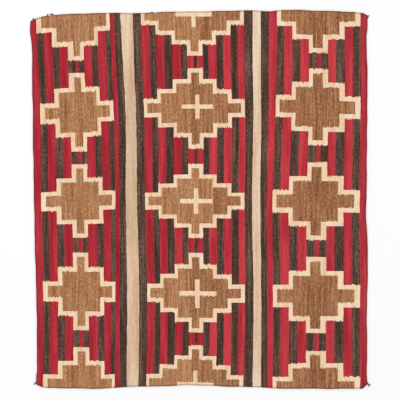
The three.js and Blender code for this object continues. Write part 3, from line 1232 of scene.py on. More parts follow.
@dataclass
class LoomChart:
    """Finds where each place on the cloth lies in the weaver's chart.

    The chart runs past the web's sides by the cord's width, in millimetres.
    """

    outline: WebOutline
    cord_width: float = 4.9

    def _across(self, x: np.ndarray, y: np.ndarray) -> np.ndarray:
        """Place across the chart, in millimetres, of places in millimetres.

        Args:
            x: their places across the floor.
            y: their places along the floor.

        Returns:
            Their places across the chart.
        """
        heights = np.array(WANDER_HEIGHTS[::-1], float)
        left, right = self.outline.sides[Side.LEFT] / MM, self.outline.sides[Side.RIGHT] / MM
        knots = [(np.interp(y, left[:, 1], left[:, 0]) - self.cord_width, 0.0)]
        for line in LOOM_LINES:
            wandering = smooth_between(heights, np.array(line.across[::-1], float), y)
            knots.append((wandering, line.order))
        knots.append((np.interp(y, right[:, 1], right[:, 0]) + self.cord_width, CHART_WIDTH))
        return straight_between(knots, x)

    def _along(self, across: np.ndarray, y: np.ndarray) -> np.ndarray:
        """Place along the chart, in millimetres, whose medallion rows stand one pitch apart.

        Args:
            across: places across the chart.
            y: their places along the floor.

        Returns:
            Their places along the chart.
        """
        knots = []
        for number in reversed(range(ROW_COUNT)):
            readings = (ROW_MIDDLES[number], ROW_GROWTH[number], *TIP_SHARES[number])
            middle, growth, upper, lower = (np.interp(across, PANEL_SIDES, part) for part in readings)
            charted = ROW_PITCH * ((ROW_COUNT - 1) / 2 - number)
            for reach, share in ((-ROW_REACH, lower), (-ROW_WAIST, 1), (ROW_WAIST, 1), (ROW_REACH, upper)):
                knots.append((middle + reach * growth * share, charted + reach))
        return straight_between(knots, y)

    def write(self, mesh: bpy.types.Mesh, ribs: np.ndarray | None = None) -> None:
        """Stores each vertex's place in the chart and on the loom.

        Args:
            mesh: the mesh to mark.
            ribs: each vertex's place among the ribs, where it isn't plainly its height.
        """
        places = np.zeros(len(mesh.vertices) * 3)
        mesh.vertices.foreach_get("co", places)
        x, y = places.reshape(-1, 3)[:, 0] / MM, places.reshape(-1, 3)[:, 1] / MM
        across = self._across(x, y)
        along = self._along(across, y)
        if ribs is None:
            ribs = y / (RIB_PITCH / MM)
        rows = np.clip(np.round((ROW_COUNT - 1) / 2 - along / ROW_PITCH), 0, ROW_COUNT - 1).astype(int)
        emblems = np.array([(emblem.across, emblem.along, emblem.bar) for emblem in EMBLEMS])
        sizes = np.array([(emblem.stem, emblem.thickness, emblem.russet_start) for emblem in EMBLEMS])
        store_vector(mesh, "chart", np.stack([across, along, np.zeros_like(x)], axis=1))
        store_vector(mesh, "emblem", emblems[rows])
        store_vector(mesh, "emblem_size", sizes[rows])
        store_vector(mesh, "loom", np.stack([across, y, ribs], axis=1))


def store_vector(mesh: bpy.types.Mesh, name: str, values: np.ndarray) -> None:
    """Stores a vector for each vertex."""
    layer = mesh.attributes.new(name, "FLOAT_VECTOR", "POINT")
    layer.data.foreach_set("vector", np.ascontiguousarray(values, float).ravel())


def store_number(mesh: bpy.types.Mesh, name: str, values: np.ndarray) -> None:
    """Stores a number for each vertex."""
    layer = mesh.attributes.new(name, "FLOAT", "POINT")
    layer.data.foreach_set("value", np.ascontiguousarray(values, float).ravel())


def realised(name: str, base: bpy.types.Mesh, tree: bpy.types.NodeTree, values: dict) -> bpy.types.Object:
    """A plain mesh object from a Geometry Nodes tree on a base mesh.

    Args:
        name: the piece's name.
        base: the mesh that the tree takes.
        tree: the tree.
        values: its other inputs, by name.

    Returns:
        The piece, at the origin, without a modifier.
    """
    guide = bpy.data.objects.new(f"{name}_guide", base)
    bpy.context.scene.collection.objects.link(guide)
    modifier = guide.modifiers.new("form", "NODES")
    modifier.node_group = tree
    for item in tree.interface.items_tree:
        if item.item_type == "SOCKET" and item.in_out == "INPUT" and item.name in values:
            modifier[item.identifier] = values[item.name]
    guide.update_tag()
    evaluated = guide.evaluated_get(bpy.context.evaluated_depsgraph_get())
    mesh = bpy.data.meshes.new_from_object(evaluated)
    mesh.name = name
    guide.modifiers.remove(modifier)
    bpy.data.objects.remove(guide)
    bpy.data.meshes.remove(base)
    piece = bpy.data.objects.new(name, mesh)
    bpy.context.scene.collection.objects.link(piece)
    return piece


def polyline_mesh(name: str, lines: list[tuple[np.ndarray, np.ndarray, bool]]) -> bpy.types.Mesh:
    """Edges along several lines, each with its girth.

    Args:
        name: the mesh's name.
        lines: each line's places, its girth at each place, and whether it closes on itself.

    Returns:
        The mesh, for a tree that turns its edges into curves.
    """
    places, girths, edges = [], [], []
    for line, girth, closed in lines:
        first = len(places)
        places.extend(line.tolist())
        girths.extend(np.broadcast_to(girth, len(line)).tolist())
        edges.extend((first + i, first + i + 1) for i in range(len(line) - 1))
        if closed:
            edges.append((first + len(line) - 1, first))
    mesh = bpy.data.meshes.new(name)
    mesh.from_pydata(places, edges, [])
    store_number(mesh, "girth", np.array(girths))
    return mesh


class GrowthTrees:
    """The Geometry Nodes trees that make what repeats or follows a path."""

    # A weft turn bends round this many degrees, in this many places, at this length, and sways
    # by up to this angle either way.
    TURN_SWEEP = 300.0
    TURN_PLACES = 8
    TURN_LENGTH = 14 * MM
    TURN_SWAY = 0.12
    TURN_YARNS = (-2.0, -1.0, 0.0, 1.0, 2.0)
    YARN_SIDES = 5
    # The part of the noise under the cloth that lifts it.
    LIFTED = (0.42, 0.75)

    def __init__(self) -> None:
        """Builds every tree once."""
        self.ribs = self._warp_ribs()
        self.cord = self._twined_cord()
        self.turns = self._weft_turns()

    def _begin(self, name: str, labels: tuple[str, ...], wholes: tuple[str, ...] = ()) -> GroupTree:
        """Starts a tree that takes a geometry, a material and some values.

        Args:
            name: the tree's name.
            labels: the numbers that it takes.
            wholes: the whole numbers that it takes.

        Returns:
            The tree.
        """
        takes = {"Geometry": "geometry"} | numbers(*labels) | dict.fromkeys(wholes, "whole")
        takes["Material"] = "material"
        return GroupTree(name, "GeometryNodeTree", takes, {"Geometry": "geometry"})

    def _finish(self, tree: GroupTree, geometry: object) -> bpy.types.NodeTree:
        """Ends a tree in smooth, realised geometry with its material.

        Args:
            tree: the tree.
            geometry: what it made.

        Returns:
            The finished tree.
        """
        smooth = tree.add("GeometryNodeSetShadeSmooth", {"Geometry": geometry})
        real = tree.add("GeometryNodeRealizeInstances", {"Geometry": smooth})
        feeds = {"Geometry": real, "Material": tree.taken("Material")}
        tree.give("Geometry", tree.add("GeometryNodeSetMaterial", feeds))
        return tree.tree

    def _named(self, tree: GroupTree, name: str) -> Socket:
        """A stored number."""
        node = tree.add("GeometryNodeInputNamedAttribute", {"Name": name}, data_type="FLOAT")
        return node.outputs["Attribute"]

    def _store(self, tree: GroupTree, geometry: object, name: str, value: object) -> bpy.types.Node:
        """Stores a number on a geometry's points."""
        feeds = {"Geometry": geometry, "Name": name, "Value": value}
        return tree.add("GeometryNodeStoreNamedAttribute", feeds, data_type="FLOAT", domain="POINT")

    def _tube(
        self, tree: GroupTree, path: object, sides: object, radius: object, girth: object,
    ) -> bpy.types.Node:
        """A closed tube along a path, marked with the place around it.

        Args:
            tree: where the nodes go.
            path: the path.
            sides: how many sides the tube has.
            radius: its radius.
            girth: how thick it is at each place, as a share of the radius.

        Returns:
            The tube.
        """
        ring = tree.add("GeometryNodeCurvePrimitiveCircle", {"Resolution": sides}, mode="RADIUS")
        tree.feed(ring.inputs["Radius"], radius)
        around = tree.add("GeometryNodeSplineParameter").outputs["Factor"]
        profile = self._store(tree, ring, "around", around)
        feeds = {"Curve": path, "Profile Curve": profile, "Scale": girth, "Fill Caps": True}
        return tree.add("GeometryNodeCurveToMesh", feeds)

    def _warp_ribs(self) -> bpy.types.NodeTree:
        """Sinks the cloth between its warp ribs and lets it lie a little unevenly.

        Returns:
            The tree, which takes the closed sheet.
        """
        tree = self._begin("Warp ribs", ("Relief", "Lift", "Lift length", "Seed"))
        valley = tree.minus(1.0, self._named(tree, "crown"))
        sunk = tree.times(valley, tree.times(tree.taken("Relief"), -1.0))
        place = tree.add("GeometryNodeInputPosition").outputs[0]
        across, along, _ = tree.split(tree.scale(place, tree.over(1.0, tree.taken("Lift length"))))
        rolling = tree.noise(tree.combine(across, along, tree.taken("Seed")), 1.0)
        rise = tree.times(tree.spread(rolling, *self.LIFTED), tree.taken("Lift"))
        height = tree.times_plus(rise, self._named(tree, "free"), sunk)
        feeds = {"Geometry": tree.taken("Geometry"), "Offset": tree.combine(0.0, 0.0, height)}
        return self._finish(tree, tree.add("GeometryNodeSetPosition", feeds))

    def _twined_cord(self) -> bpy.types.NodeTree:
        """Twines plies round every line of a mesh's edges.

        Returns:
            The tree, which takes the edges.
        """
        labels = ("Ply radius", "Lay radius", "Turn", "Phase", "Bulge", "Step")
        tree = self._begin("Twined cord", labels, ("Plies", "Sides"))
        line = tree.add("GeometryNodeMeshToCurve", {"Mesh": tree.taken("Geometry")})
        feeds = {"Curve": line, "Length": tree.taken("Step")}
        even = tree.add("GeometryNodeResampleCurve", feeds, mode="LENGTH")
        upright = tree.add("GeometryNodeSetCurveNormal", {"Curve": even}, mode="Z_UP")
        feeds = {"Geometry": upright, "Amount": tree.taken("Plies")}
        plies = tree.add("GeometryNodeDuplicateElements", feeds, domain="SPLINE")
        run = tree.add("GeometryNodeSplineParameter").outputs["Length"]
        marked = self._store(tree, plies.outputs["Geometry"], "run", run)
        place = tree.over(plies.outputs["Duplicate Index"], tree.taken("Plies"))
        marked = self._store(tree, marked, "ply", place)

        # The plies wind round the line, and the line bends aside twice in each turn.
        turns = tree.plus(tree.over(run, tree.taken("Turn")), self._named(tree, "ply"))
        angle = tree.times(tree.plus(turns, tree.taken("Phase")), 2 * math.pi)
        upwards = tree.add("GeometryNodeInputNormal").outputs[0]
        ahead = tree.add("GeometryNodeInputTangent").outputs[0]
        aside = tree.vector("CROSS_PRODUCT", ahead, upwards)
        girth = self._named(tree, "girth")
        up_part = tree.scale(upwards, tree.math("COSINE", angle))
        side_part = tree.scale(aside, tree.math("SINE", angle))
        lay = tree.times(tree.taken("Lay radius"), girth)
        wound = tree.scale(tree.vector("ADD", up_part, side_part), lay)
        swing = tree.math("COSINE", tree.times(angle, 2.0))
        level_aside = tree.stretch(aside, 1.0, 1.0)
        drawn = tree.scale(level_aside, tree.times(swing, tree.taken("Bulge")))
        feeds = {"Geometry": marked, "Offset": tree.vector("SUBTRACT", wound, drawn)}
        path = tree.add("GeometryNodeSetPosition", feeds)
        sized = tree.add("GeometryNodeSetCurveRadius", {"Curve": path, "Radius": girth})
        tube = self._tube(tree, sized, tree.taken("Sides"), tree.taken("Ply radius"), girth)
        return self._finish(tree, tube)

    def _weft_turns(self) -> bpy.types.NodeTree:
        """Sets a bundle of weft turns at each point of a line, with its outer side on the left.

        Returns:
            The tree, which takes the line's edges.
        """
        labels = ("Yarn radius", "Spacing", "Reach", "Rise", "Inset", "Slant")
        tree = self._begin("Weft turns", labels, ("Seed",))
        feeds = {"Resolution": self.TURN_PLACES, "Radius": 1.0}
        arc = tree.add("GeometryNodeCurveArc", feeds, mode="RADIUS")
        tree.feed(arc.inputs["Start Angle"], math.radians(-self.TURN_SWEEP / 2))
        tree.feed(arc.inputs["Sweep Angle"], math.radians(self.TURN_SWEEP))
        share = tree.add("GeometryNodeSplineParameter").outputs["Factor"]
        run = tree.times(share, self.TURN_LENGTH)
        marked = self._store(tree, arc.outputs["Curve"], "run", run)
        size = tree.combine(tree.taken("Reach"), tree.taken("Rise"), 1.0)
        scaled = tree.add("GeometryNodeTransform", {"Geometry": marked, "Scale": size})
        stood = tree.add("GeometryNodeTransform", {"Geometry": scaled})
        tree.feed(stood.inputs["Rotation"], (math.pi / 2, 0.0, math.pi / 2))
        tree.feed(stood.inputs["Translation"], tree.combine(0.0, tree.times(tree.taken("Inset"), -1.0)))
        yarn = self._tube(tree, stood, self.YARN_SIDES, tree.taken("Yarn radius"), 1.0)
        bundle = tree.add("GeometryNodeJoinGeometry")
        for number in self.TURN_YARNS:
            aside = tree.combine(tree.times(tree.taken("Spacing"), number), 0.0)
            moved = tree.add("GeometryNodeTransform", {"Geometry": yarn, "Translation": aside})
            tree.feed(bundle.inputs[0], moved)

        line = tree.add("GeometryNodeMeshToCurve", {"Mesh": tree.taken("Geometry")})
        across, along, _ = tree.split(tree.add("GeometryNodeInputTangent").outputs[0])
        heading = tree.math("ARCTAN2", along, across)
        sway = tree.add("FunctionNodeRandomValue", {}, data_type="FLOAT")
        feeds = {"Min": -self.TURN_SWAY, "Max": self.TURN_SWAY, "Seed": tree.taken("Seed")}
        for socket in sway.inputs:
            if socket.enabled and socket.name in feeds:
                tree.feed(socket, feeds[socket.name])
        swayed = tree.plus(heading, tree.plus(tree.taken("Slant"), sway.outputs[1]))
        feeds = {"Points": line, "Instance": bundle, "Rotation": tree.combine(0.0, 0.0, swayed)}
        return self._finish(tree, tree.add("GeometryNodeInstanceOnPoints", feeds))


@dataclass(frozen=True)
class BakeLayout:
    """Where the cloth's two faces and its rim lie in the square of their flat UV layout."""

    start: float = 0.01
    height: float = 0.98
    upper_width: float = 0.65
    lower_start: float = 0.70
    lower_width: float = 0.29
    rim_gap: float = 0.004

    def upper(self, across: np.ndarray, along: np.ndarray) -> np.ndarray:
        """Places of the upper face, from its shares across and along."""
        return self._grid(self.start + self.upper_width * across, along)

    def lower(self, across: np.ndarray, along: np.ndarray) -> np.ndarray:
        """Places of the underside."""
        return self._grid(self.lower_start + self.lower_width * across, along)

    def skirt(self, across: np.ndarray, along: np.ndarray) -> np.ndarray:
        """Places of the rim's foot, just outside the upper face.

        Args:
            across: shares across the cloth, one for each column.
            along: shares along the cloth, one for each row.

        Returns:
            The places, row by row.
        """
        half = np.array([self.upper_width, self.height]) / 2
        inside = self.upper(across, along)
        shares = np.round((inside - self.start - half) / half, PLACE_DIGITS)
        outwards = np.sign(shares.astype(int))
        return inside + outwards * self.rim_gap

    def _grid(self, across: np.ndarray, along: np.ndarray) -> np.ndarray:
        """Every place of a grid, row by row."""
        u, v = np.meshgrid(across, self.start + self.height * along)
        return np.stack([u.ravel(), v.ravel()], axis=1)


@dataclass
class Web:
    """The tapestry-woven cloth: warp ribs across it, on a flat foot.

    rim_height is a share of the thickness, and crowns are where each rib's crown begins and
    ends as shares of its pitch.
    """

    outline: WebOutline
    chart: LoomChart
    thickness: float = 4.0 * MM
    relief: float = 0.55 * MM
    lift: float = 1.1 * MM
    lift_length: float = 0.19
    lift_seed: float = 4.0
    columns: int = 62
    rim: float = 2.0 * MM
    rim_height: float = 0.62
    crowns: tuple[float, float] = (0.28, 0.72)
    free_width: float = 40 * MM
    layout: BakeLayout = BakeLayout()

    def _shares(self, length: float, inner: np.ndarray) -> np.ndarray:
        """Shares along a side, with one more at each rim."""
        rim = self.rim / length
        return np.concatenate([[0.0, rim], inner, [1 - rim, 1.0]])

    def _face(self, plan: np.ndarray, crown: np.ndarray, is_top: bool) -> tuple[np.ndarray, np.ndarray]:
        """Places and crown shares of one face of the cloth.

        Args:
            plan: the face's places in plan, by row and column.
            crown: each row's crown share.
            is_top: whether it is the upper face.

        Returns:
            The vertices, and each vertex's crown share.
        """
        height = np.full(plan.shape[:2], self.thickness if is_top else 0.0)
        share = np.broadcast_to(crown[:, None], plan.shape[:2]).copy()
        if is_top:
            for border in (np.s_[0, :], np.s_[-1, :], np.s_[:, 0], np.s_[:, -1]):
                height[border] = self.thickness * self.rim_height
                share[border] = 1.0
        return np.concatenate([plan, height[..., None]], axis=2).reshape(-1, 3), share.ravel()

    def _rim(self, ribs: int, columns: int) -> list[tuple[int, ...]]:
        """The faces between the edges of the cloth's two faces.

        Args:
            ribs: how many ribs the cloth has.
            columns: how many columns each face has.

        Returns:
            The rim's faces.
        """
        per_rib = len(self.crowns) + 1
        first_foot = (per_rib * ribs + 1) * columns
        found = []
        for column, flip in ((0, False), (columns - 1, True)):
            for rib in range(ribs):
                low = first_foot + rib * columns + column
                high = low + columns
                a, b, c, d = ((per_rib * rib + k) * columns + column for k in range(per_rib + 1))
                for face in ((low, a, b), (low, b, c, high), (high, c, d)):
                    found.append(face[::-1] if flip else face)
        for top_row, foot_row, flip in ((0, 0, False), (per_rib * ribs, ribs, True)):
            for column in range(columns - 1):
                upper = top_row * columns + column
                lower = first_foot + foot_row * columns + column
                face = (lower, lower + 1, upper + 1, upper)
                found.append(face[::-1] if flip else face)
        return found

    def _sheet(self) -> bpy.types.Mesh:
        """The closed sheet before its ribs are sunk, with its attributes and its flat layout.

        Returns:
            The mesh.
        """
        width, height = np.ptp(self.outline.points, axis=0)
        ribs = int(round(height / RIB_PITCH))
        across = self._shares(width, np.linspace(0, 1, self.columns + 2)[1:-1])
        columns = len(across)
        top_ribs = np.append((np.arange(ribs)[:, None] + (0.0, *self.crowns)).ravel(), ribs)
        foot_ribs = np.arange(ribs + 1.0)
        top_crown = np.append(np.tile([0.0, 1.0, 1.0], ribs), 0.0)
        along, foot_along = top_ribs / ribs, foot_ribs / ribs
        top, top_share = self._face(self.outline.patch(across, along), top_crown, True)
        foot_plan = self.outline.patch(across, foot_along)
        foot, foot_share = self._face(foot_plan, np.ones(ribs + 1), False)
        places = np.concatenate([top, foot])

        def quads(rows: int, start: int, flip: bool) -> list[tuple[int, ...]]:
            """The faces between the rows of one grid.

            Args:
                rows: how many rows it has.
                start: its first vertex.
                flip: whether the faces point down.

            Returns:
                The faces.
            """
            row, column = np.meshgrid(np.arange(rows - 1), np.arange(columns - 1), indexing="ij")
            corner = (start + row * columns + column).ravel()
            loop = [corner, corner + 1, corner + columns + 1, corner + columns]
            return np.stack(loop[::-1] if flip else loop, axis=1).tolist()

        faces = quads(len(top_ribs), 0, False) + quads(len(foot_ribs), len(top), True)
        rim = self._rim(ribs, columns)
        mesh = bpy.data.meshes.new("rug_web_sheet")
        mesh.from_pydata(places.tolist(), [], faces + rim)

        # The rim's corners lie on the upper face's edge and just outside it.
        upper, lower = self.layout.upper(across, along), self.layout.lower(across, foot_along)
        corners, rim_corners = (
            np.array([index for face in part for index in face]) for part in (faces, rim)
        )
        rim_laid = np.concatenate([upper, self.layout.skirt(across, foot_along)])[rim_corners]
        layer = mesh.uv_layers.new(name="OFBake")
        laid = np.concatenate([np.concatenate([upper, lower])[corners], rim_laid])
        layer.data.foreach_set("uv", laid.ravel())

        store_number(mesh, "crown", np.concatenate([top_share, foot_share]))
        store_number(mesh, "free", self._freedom(places))
        self.chart.write(mesh, np.repeat(np.concatenate([top_ribs, foot_ribs]), columns))
        return mesh

    def _freedom(self, places: np.ndarray) -> np.ndarray:
        """How far each place may lift: not at all at the edge, fully inside.

        Args:
            places: the places, one row each.

        Returns:
            A share from 0 to 1 for each place.
        """
        low, high = self.outline.points.min(0), self.outline.points.max(0)
        inset = np.minimum(places[:, :2] - low, high - places[:, :2]).min(axis=1)
        return np.clip((inset - self.free_width) / (3 * self.free_width), 0.0, 1.0)

    def build(self, trees: GrowthTrees, materials: RugMaterials) -> bpy.types.Object:
        """Builds and dresses the web.

        Args:
            trees: the Geometry Nodes trees.
            materials: the rug's materials.

        Returns:
            The web's piece.
        """
        values = {
            "Relief": self.relief, "Lift": self.lift, "Lift length": self.lift_length,
            "Seed": self.lift_seed, "Material": materials.weft,
        }
        piece = realised("web", self._sheet(), trees.ribs, values)
        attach(piece, BODY)
        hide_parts("rug_web")
        return piece


@dataclass
class RodRoute:
    """The middle line of a CAD cord, worked out from the two level edges of its crown."""

    node: str
    crown_width: float = 1.905 * MM

    def places(self) -> np.ndarray:
        """The line's places in order, in the row frame.

        Returns:
            The places, one row each.
        """
        corners = np.unique(node_corners(self.node).round(PLACE_DIGITS), axis=0)
        floor, crown = corners[:, 2].min(), corners[:, 2].max()
        waiting = list(corners[corners[:, 2] > crown - CROWN_SLACK, :2])
        stations = []
        while len(waiting) > 1:
            first = waiting.pop(0)
            gaps = [abs(np.linalg.norm(other - first) - self.crown_width) for other in waiting]
            partner = waiting.pop(int(np.argmin(gaps)))
            stations.append((first + partner) / 2)
        ordered = self._walk(np.array(stations))
        return np.column_stack([ordered, np.full(len(ordered), (floor + crown) / 2)])

    def _walk(self, stations: np.ndarray) -> np.ndarray:
        """Puts stations in order, from the one that lies furthest out.

        Args:
            stations: their places, one row each.

        Returns:
            The same places in order.
        """
        left = list(range(len(stations)))
        here = int(np.argmax(np.linalg.norm(stations - stations.mean(axis=0), axis=1)))
        order = [here]
        left.remove(here)
        while left:
            gaps = np.linalg.norm(stations[left] - stations[here], axis=1)
            here = left[int(np.argmin(gaps))]
            order.append(here)
            left.remove(here)
        return stations[order]


@dataclass
class SelvageCord:
    """A twined cord along one edge of the web.

    A side cord's plies cross where the wefts turn and draw it in, and between the turns they
    lie side by side and bend outwards.
    """

    name: str
    node: str
    slot: str
    turn: float
    is_side: bool
    plies: int = 2
    ply_radius: float = 1.35 * MM
    ply_sides: int = 6
    lay_radius: float = 1.3 * MM
    bend: float = 0.9 * MM
    first_turn: float = 0.25
    steps_per_turn: int = 12

    def _lay(self, line: np.ndarray) -> tuple[float, float]:
        """How the plies start and bend.

        Args:
            line: the cord's middle line.

        Returns:
            The share of a turn to start at, so that a side cord's plies lie side by side at
            x = 0, and how far it bends to the right of its way between the turns.
        """
        if not self.is_side:
            return 0.0, 0.0
        middle = len(line) // 2
        way = math.copysign(1.0, line[-1, 0] - line[0, 0])
        run = float(reached(line)[middle] - way * line[middle, 0])
        start = self.first_turn - run / self.turn
        return start, -way * math.copysign(self.bend, line[middle, 1])

    def build(self, trees: GrowthTrees, material: bpy.types.Material) -> bpy.types.Object:
        """Builds and dresses the cord.

        Args:
            trees: the Geometry Nodes trees.
            material: its wool.

        Returns:
            The cord's piece.
        """
        line = RodRoute(self.node).places()
        base = polyline_mesh(self.name, [(line, np.ones(len(line)), False)])
        phase, bulge = self._lay(line)
        values = {
            "Plies": self.plies, "Ply radius": self.ply_radius, "Lay radius": self.lay_radius,
            "Turn": self.turn, "Phase": phase, "Bulge": bulge,
            "Step": self.turn / self.steps_per_turn, "Sides": self.ply_sides, "Material": material,
        }
        piece = realised(self.name, base, trees.cord, values)
        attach(piece, BODY)
        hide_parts(self.node)
        return piece


@dataclass
class WeftTurns:
    """The wefts' turns round a side cord, in bundles between which the cord bends out."""

    name: str
    side: Side
    outline: WebOutline
    chart: LoomChart
    seed: int
    middle_height: float = 2.5 * MM
    cord_distance: float = 2.6 * MM
    track_step: float = 2 * MM
    pitch: float = 10.7 * MM
    yarn_radius: float = 0.85 * MM
    spacing: float = 1.6 * MM
    reach: float = 3.6 * MM
    rise: float = 1.6 * MM
    inset: float = 1.3 * MM
    slant: float = 0.3

    def build(self, trees: GrowthTrees, materials: RugMaterials) -> bpy.types.Object:
        """Builds and dresses the turns.

        Args:
            trees: the Geometry Nodes trees.
            materials: the rug's materials.

        Returns:
            The turns' piece.
        """
        track = self.outline.beside(self.side, self.cord_distance, self.track_step)
        most = int(np.abs(track[:, 0]).max() / self.pitch) + 1
        marks = (np.arange(-most, most) + 0.5) * self.pitch
        marks = marks[(marks > track[0, 0] + self.pitch) & (marks < track[-1, 0] - self.pitch)]
        line = np.column_stack([marks, np.interp(marks, track[:, 0], track[:, 1])])
        if self.side is Side.BOTTOM:
            line = line[::-1]
        places = np.column_stack([line, np.full(len(line), self.middle_height)])
        base = polyline_mesh(self.name, [(places, np.ones(len(places)), False)])
        values = {
            "Yarn radius": self.yarn_radius, "Spacing": self.spacing, "Reach": self.reach,
            "Rise": self.rise, "Inset": self.inset, "Slant": self.slant, "Seed": self.seed,
            "Material": materials.turns,
        }
        piece = realised(self.name, base, trees.turns, values)
        self.chart.write(piece.data)
        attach(piece, BODY)
        return piece


@dataclass
class CornerTassel:
    """The knot of the cords at one corner, with their worn ends."""

    corner: str
    seed: int
    middle_height: float = 2.5 * MM
    knot_radius: float = 2.1 * MM
    knot_swell: float = 1.0 * MM
    knot_lift: float = 1.15
    knot_places: int = 72
    plies: int = 2
    ply_radius: float = 0.62 * MM
    ply_sides: int = 5
    lay_radius: float = 0.5 * MM
    turn: float = 4.5 * MM
    step: float = 0.6 * MM
    strands: int = 5
    strand_places: int = 9
    strand_fan: float = 0.16
    strand_reach: tuple[float, float] = (0.75, 1.0)
    strand_bend: float = 0.45
    strand_tip: float = 0.55
    strand_height: float = 1.116 * MM
    settling: float = 1.6
    frays: int = 9
    fray_fan: float = 0.6
    fray_reach: tuple[float, float] = (0.8, 1.15)
    fray_bend: float = 1.2
    fray_girth: float = 0.16
    fray_height: float = 0.5 * MM

    def _knot(self, middle: np.ndarray) -> np.ndarray:
        """The closed line of a tight overhand knot.

        Args:
            middle: its middle.

        Returns:
            The line's places.
        """
        angle = np.linspace(0, 2 * math.pi, self.knot_places, endpoint=False)
        reach = self.knot_radius + self.knot_swell * np.cos(3 * angle)
        height = middle[2] + self.knot_lift * self.knot_swell * np.sin(3 * angle)
        x = middle[0] + reach * np.cos(2 * angle)
        y = middle[1] + reach * np.sin(2 * angle)
        return np.column_stack([x, y, height])

    def _strand(
        self, start: np.ndarray, aim: float, reach: float, bend: float, floor: float,
    ) -> np.ndarray:
        """One worn end that leaves the knot and settles on the floor.

        Args:
            start: the knot's middle.
            aim: the way it leaves.
            reach: its length.
            bend: how far its way turns.
            floor: the height that it settles at.

        Returns:
            The strand's places.
        """
        share = np.linspace(0, 1, self.strand_places)
        heading = aim + bend * share
        steps = np.column_stack([np.cos(heading), np.sin(heading)]) * reach / (len(share) - 1)
        plan = start[:2] + np.cumsum(steps, axis=0) - steps[0]
        height = start[2] + (floor - start[2]) * np.minimum(1.0, self.settling * share)
        return np.column_stack([plan, height])

    def _lines(self, corners: np.ndarray) -> list[tuple[np.ndarray, np.ndarray, bool]]:
        """The lines of the knot, its worn ends and its frayed fibres.

        Args:
            corners: the vertices of the tassel's CAD solid.

        Returns:
            Each line's places, its girths and whether it closes on itself.
        """
        crown = corners[corners[:, 2] > corners[:, 2].max() - CROWN_SLACK]
        middle = (crown.min(0) + crown.max(0)) / 2
        gaps = np.linalg.norm(corners[:, :2] - middle[:2], axis=1)
        longest = gaps.max()
        tip = corners[gaps > longest - MM].mean(axis=0)
        aim = math.atan2(tip[1] - middle[1], tip[0] - middle[0])
        middle[2] = self.middle_height
        random = np.random.default_rng(self.seed)
        lines = [(self._knot(middle), np.ones(self.knot_places), True)]
        for number in range(self.strands):
            fan = (number - (self.strands - 1) / 2) * self.strand_fan
            reach = longest * random.uniform(*self.strand_reach)
            bend = random.uniform(-self.strand_bend, self.strand_bend)
            strand = self._strand(middle, aim + fan, reach, bend, self.strand_height)
            lines.append((strand, np.linspace(1.0, self.strand_tip, len(strand)), False))
        for _ in range(self.frays):
            fan = random.uniform(-self.fray_fan, self.fray_fan)
            reach = longest * random.uniform(*self.fray_reach)
            bend = random.uniform(-self.fray_bend, self.fray_bend)
            fibre = self._strand(middle, aim + fan, reach, bend, self.fray_height)
            lines.append((fibre, np.full(len(fibre), self.fray_girth), False))
        return lines

    def build(self, trees: GrowthTrees, materials: RugMaterials) -> bpy.types.Object:
        """Builds and dresses the tassel.

        Args:
            trees: the Geometry Nodes trees.
            materials: the rug's materials.

        Returns:
            The tassel's piece.
        """
        node = f"corner_tassel_{self.corner}"
        base = polyline_mesh(node, self._lines(node_corners(node)))
        values = {
            "Plies": self.plies, "Ply radius": self.ply_radius, "Lay radius": self.lay_radius,
            "Turn": self.turn, "Step": self.step, "Sides": self.ply_sides,
            "Material": materials.tassel,
        }
        piece = realised(f"tassel_{self.corner}", base, trees.cord, values)
        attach(piece, BODY)
        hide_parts(node)
        return piece


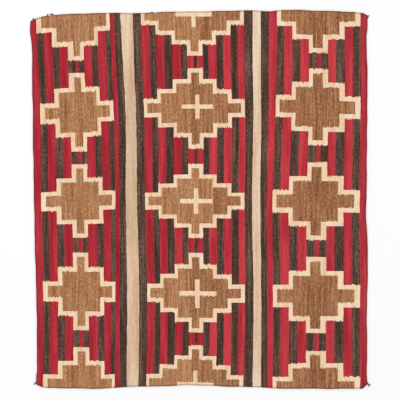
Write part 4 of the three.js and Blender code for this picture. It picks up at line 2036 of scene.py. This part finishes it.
@dataclass
class Studio:
    """A pale floor, soft light and a camera straight above."""

    floor_reach: float = 9.0
    floor_drop: float = 0.2 * MM
    floor_tones: tuple[float, float] = (0.95, 0.965)
    floor_patches: float = 1.5
    floor_roughness: float = 0.9
    floor_specular: float = 0.1
    lens: float = 100.0
    sensor: float = 36.0
    clip_end: float = 100.0
    world_strength: float = 0.93
    lamp_power: float = 36.0
    lamp_size: float = 3.2
    lamp_place: tuple[float, float, float] = (-1.6, 2.2, 4.2)
    lamp_tilt: tuple[float, float, float] = (-27.0, -21.0, 0.0)

    def _floor(self) -> None:
        """Makes the floor."""
        reach, height = self.floor_reach, -self.floor_drop
        corners = [(x * reach, y * reach, height) for x, y in ((-1, -1), (1, -1), (1, 1), (-1, 1))]
        mesh = bpy.data.meshes.new("floor")
        mesh.from_pydata(corners, [], [(0, 1, 2, 3)])
        floor = bpy.data.objects.new("floor", mesh)
        bpy.context.scene.collection.objects.link(floor)
        material = bpy.data.materials.new("studio_floor")
        material.use_nodes = True
        graph = NodeGraph(material.node_tree)
        shader = material.node_tree.nodes["Principled BSDF"]
        place = graph.add("ShaderNodeTexCoord").outputs["Object"]
        patch = graph.noise(graph.stretch(place, *[self.floor_patches] * 3))
        tint = graph.mix(patch, *((tone, tone, tone, 1.0) for tone in self.floor_tones))
        graph.feed(shader.inputs["Base Color"], tint)
        shader.inputs["Roughness"].default_value = self.floor_roughness
        shader.inputs["Specular IOR Level"].default_value = self.floor_specular
        mesh.materials.append(material)

    def _light(self) -> None:
        """Makes the even sky and one large soft lamp."""
        world = bpy.data.worlds.new("studio")
        world.use_nodes = True
        backdrop = world.node_tree.nodes["Background"]
        backdrop.inputs["Color"].default_value = (1.0, 1.0, 1.0, 1.0)
        backdrop.inputs["Strength"].default_value = self.world_strength
        bpy.context.scene.world = world
        lamp = bpy.data.lights.new("soft_lamp", "AREA")
        lamp.shape = "DISK"
        lamp.size = self.lamp_size
        lamp.energy = self.lamp_power
        holder = bpy.data.objects.new("soft_lamp", lamp)
        holder.location = self.lamp_place
        holder.rotation_euler = [math.radians(angle) for angle in self.lamp_tilt]
        bpy.context.scene.collection.objects.link(holder)

    def _camera(self) -> None:
        """Hangs the camera straight above the photograph's middle."""
        lens = bpy.data.cameras.new("camera")
        lens.lens = self.lens
        lens.sensor_width = self.sensor
        lens.clip_end = self.clip_end
        camera = bpy.data.objects.new("camera", lens)
        camera.location = (*FRAME_MIDDLE, FRAME_WIDTH * self.lens / self.sensor)
        bpy.context.scene.collection.objects.link(camera)
        bpy.context.scene.camera = camera

    def build(self) -> None:
        """Builds the whole studio."""
        self._floor()
        self._light()
        self._camera()
        bpy.context.scene.view_settings.view_transform = "Standard"


def build_cords(trees: GrowthTrees, materials: RugMaterials) -> list[bpy.types.Object]:
    """Builds the cords along the web's sides and ends.

    Args:
        trees: the Geometry Nodes trees.
        materials: the rug's materials.

    Returns:
        The cords' pieces.
    """
    found = []
    for part in ("bottom", "top_left", "top_middle", "top_right"):
        cord = SelvageCord(f"cord_{part}", f"side_cord_{part}", "side_cord_wool", SIDE_TURN, True)
        found.append(cord.build(trees, materials.side_cord))
    for part in ("left", "right"):
        cord = SelvageCord(f"cord_{part}", f"end_cord_{part}", "end_cord_wool", END_TURN, False)
        found.append(cord.build(trees, materials.end_cord))
    return found


def main() -> None:
    """Builds the rug round its frame and reports each piece."""
    logging.basicConfig(level=logging.INFO, format="%(message)s")
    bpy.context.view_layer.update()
    Studio().build()

    outline = WebOutline.of_node("rug_web")
    chart = LoomChart(outline)
    materials = RugMaterials(WoolShading(), WoolFinish())
    trees = GrowthTrees()
    web = Web(outline, chart).build(trees, materials)
    turns = [
        WeftTurns(f"weft_turns_{side.value}", side, outline, chart, seed).build(trees, materials)
        for side, seed in TURN_SEEDS.items()
    ]
    cords = build_cords(trees, materials)
    tassels = [
        CornerTassel(corner, seed).build(trees, materials) for corner, seed in TASSEL_SEEDS.items()
    ]

    for piece in (web, *turns, *cords, *tassels):
        piece.data.calc_loop_triangles()
        LOG.info("%s: %d triangles", piece.name, len(piece.data.loop_triangles))


if __name__ == "__main__":
    main()
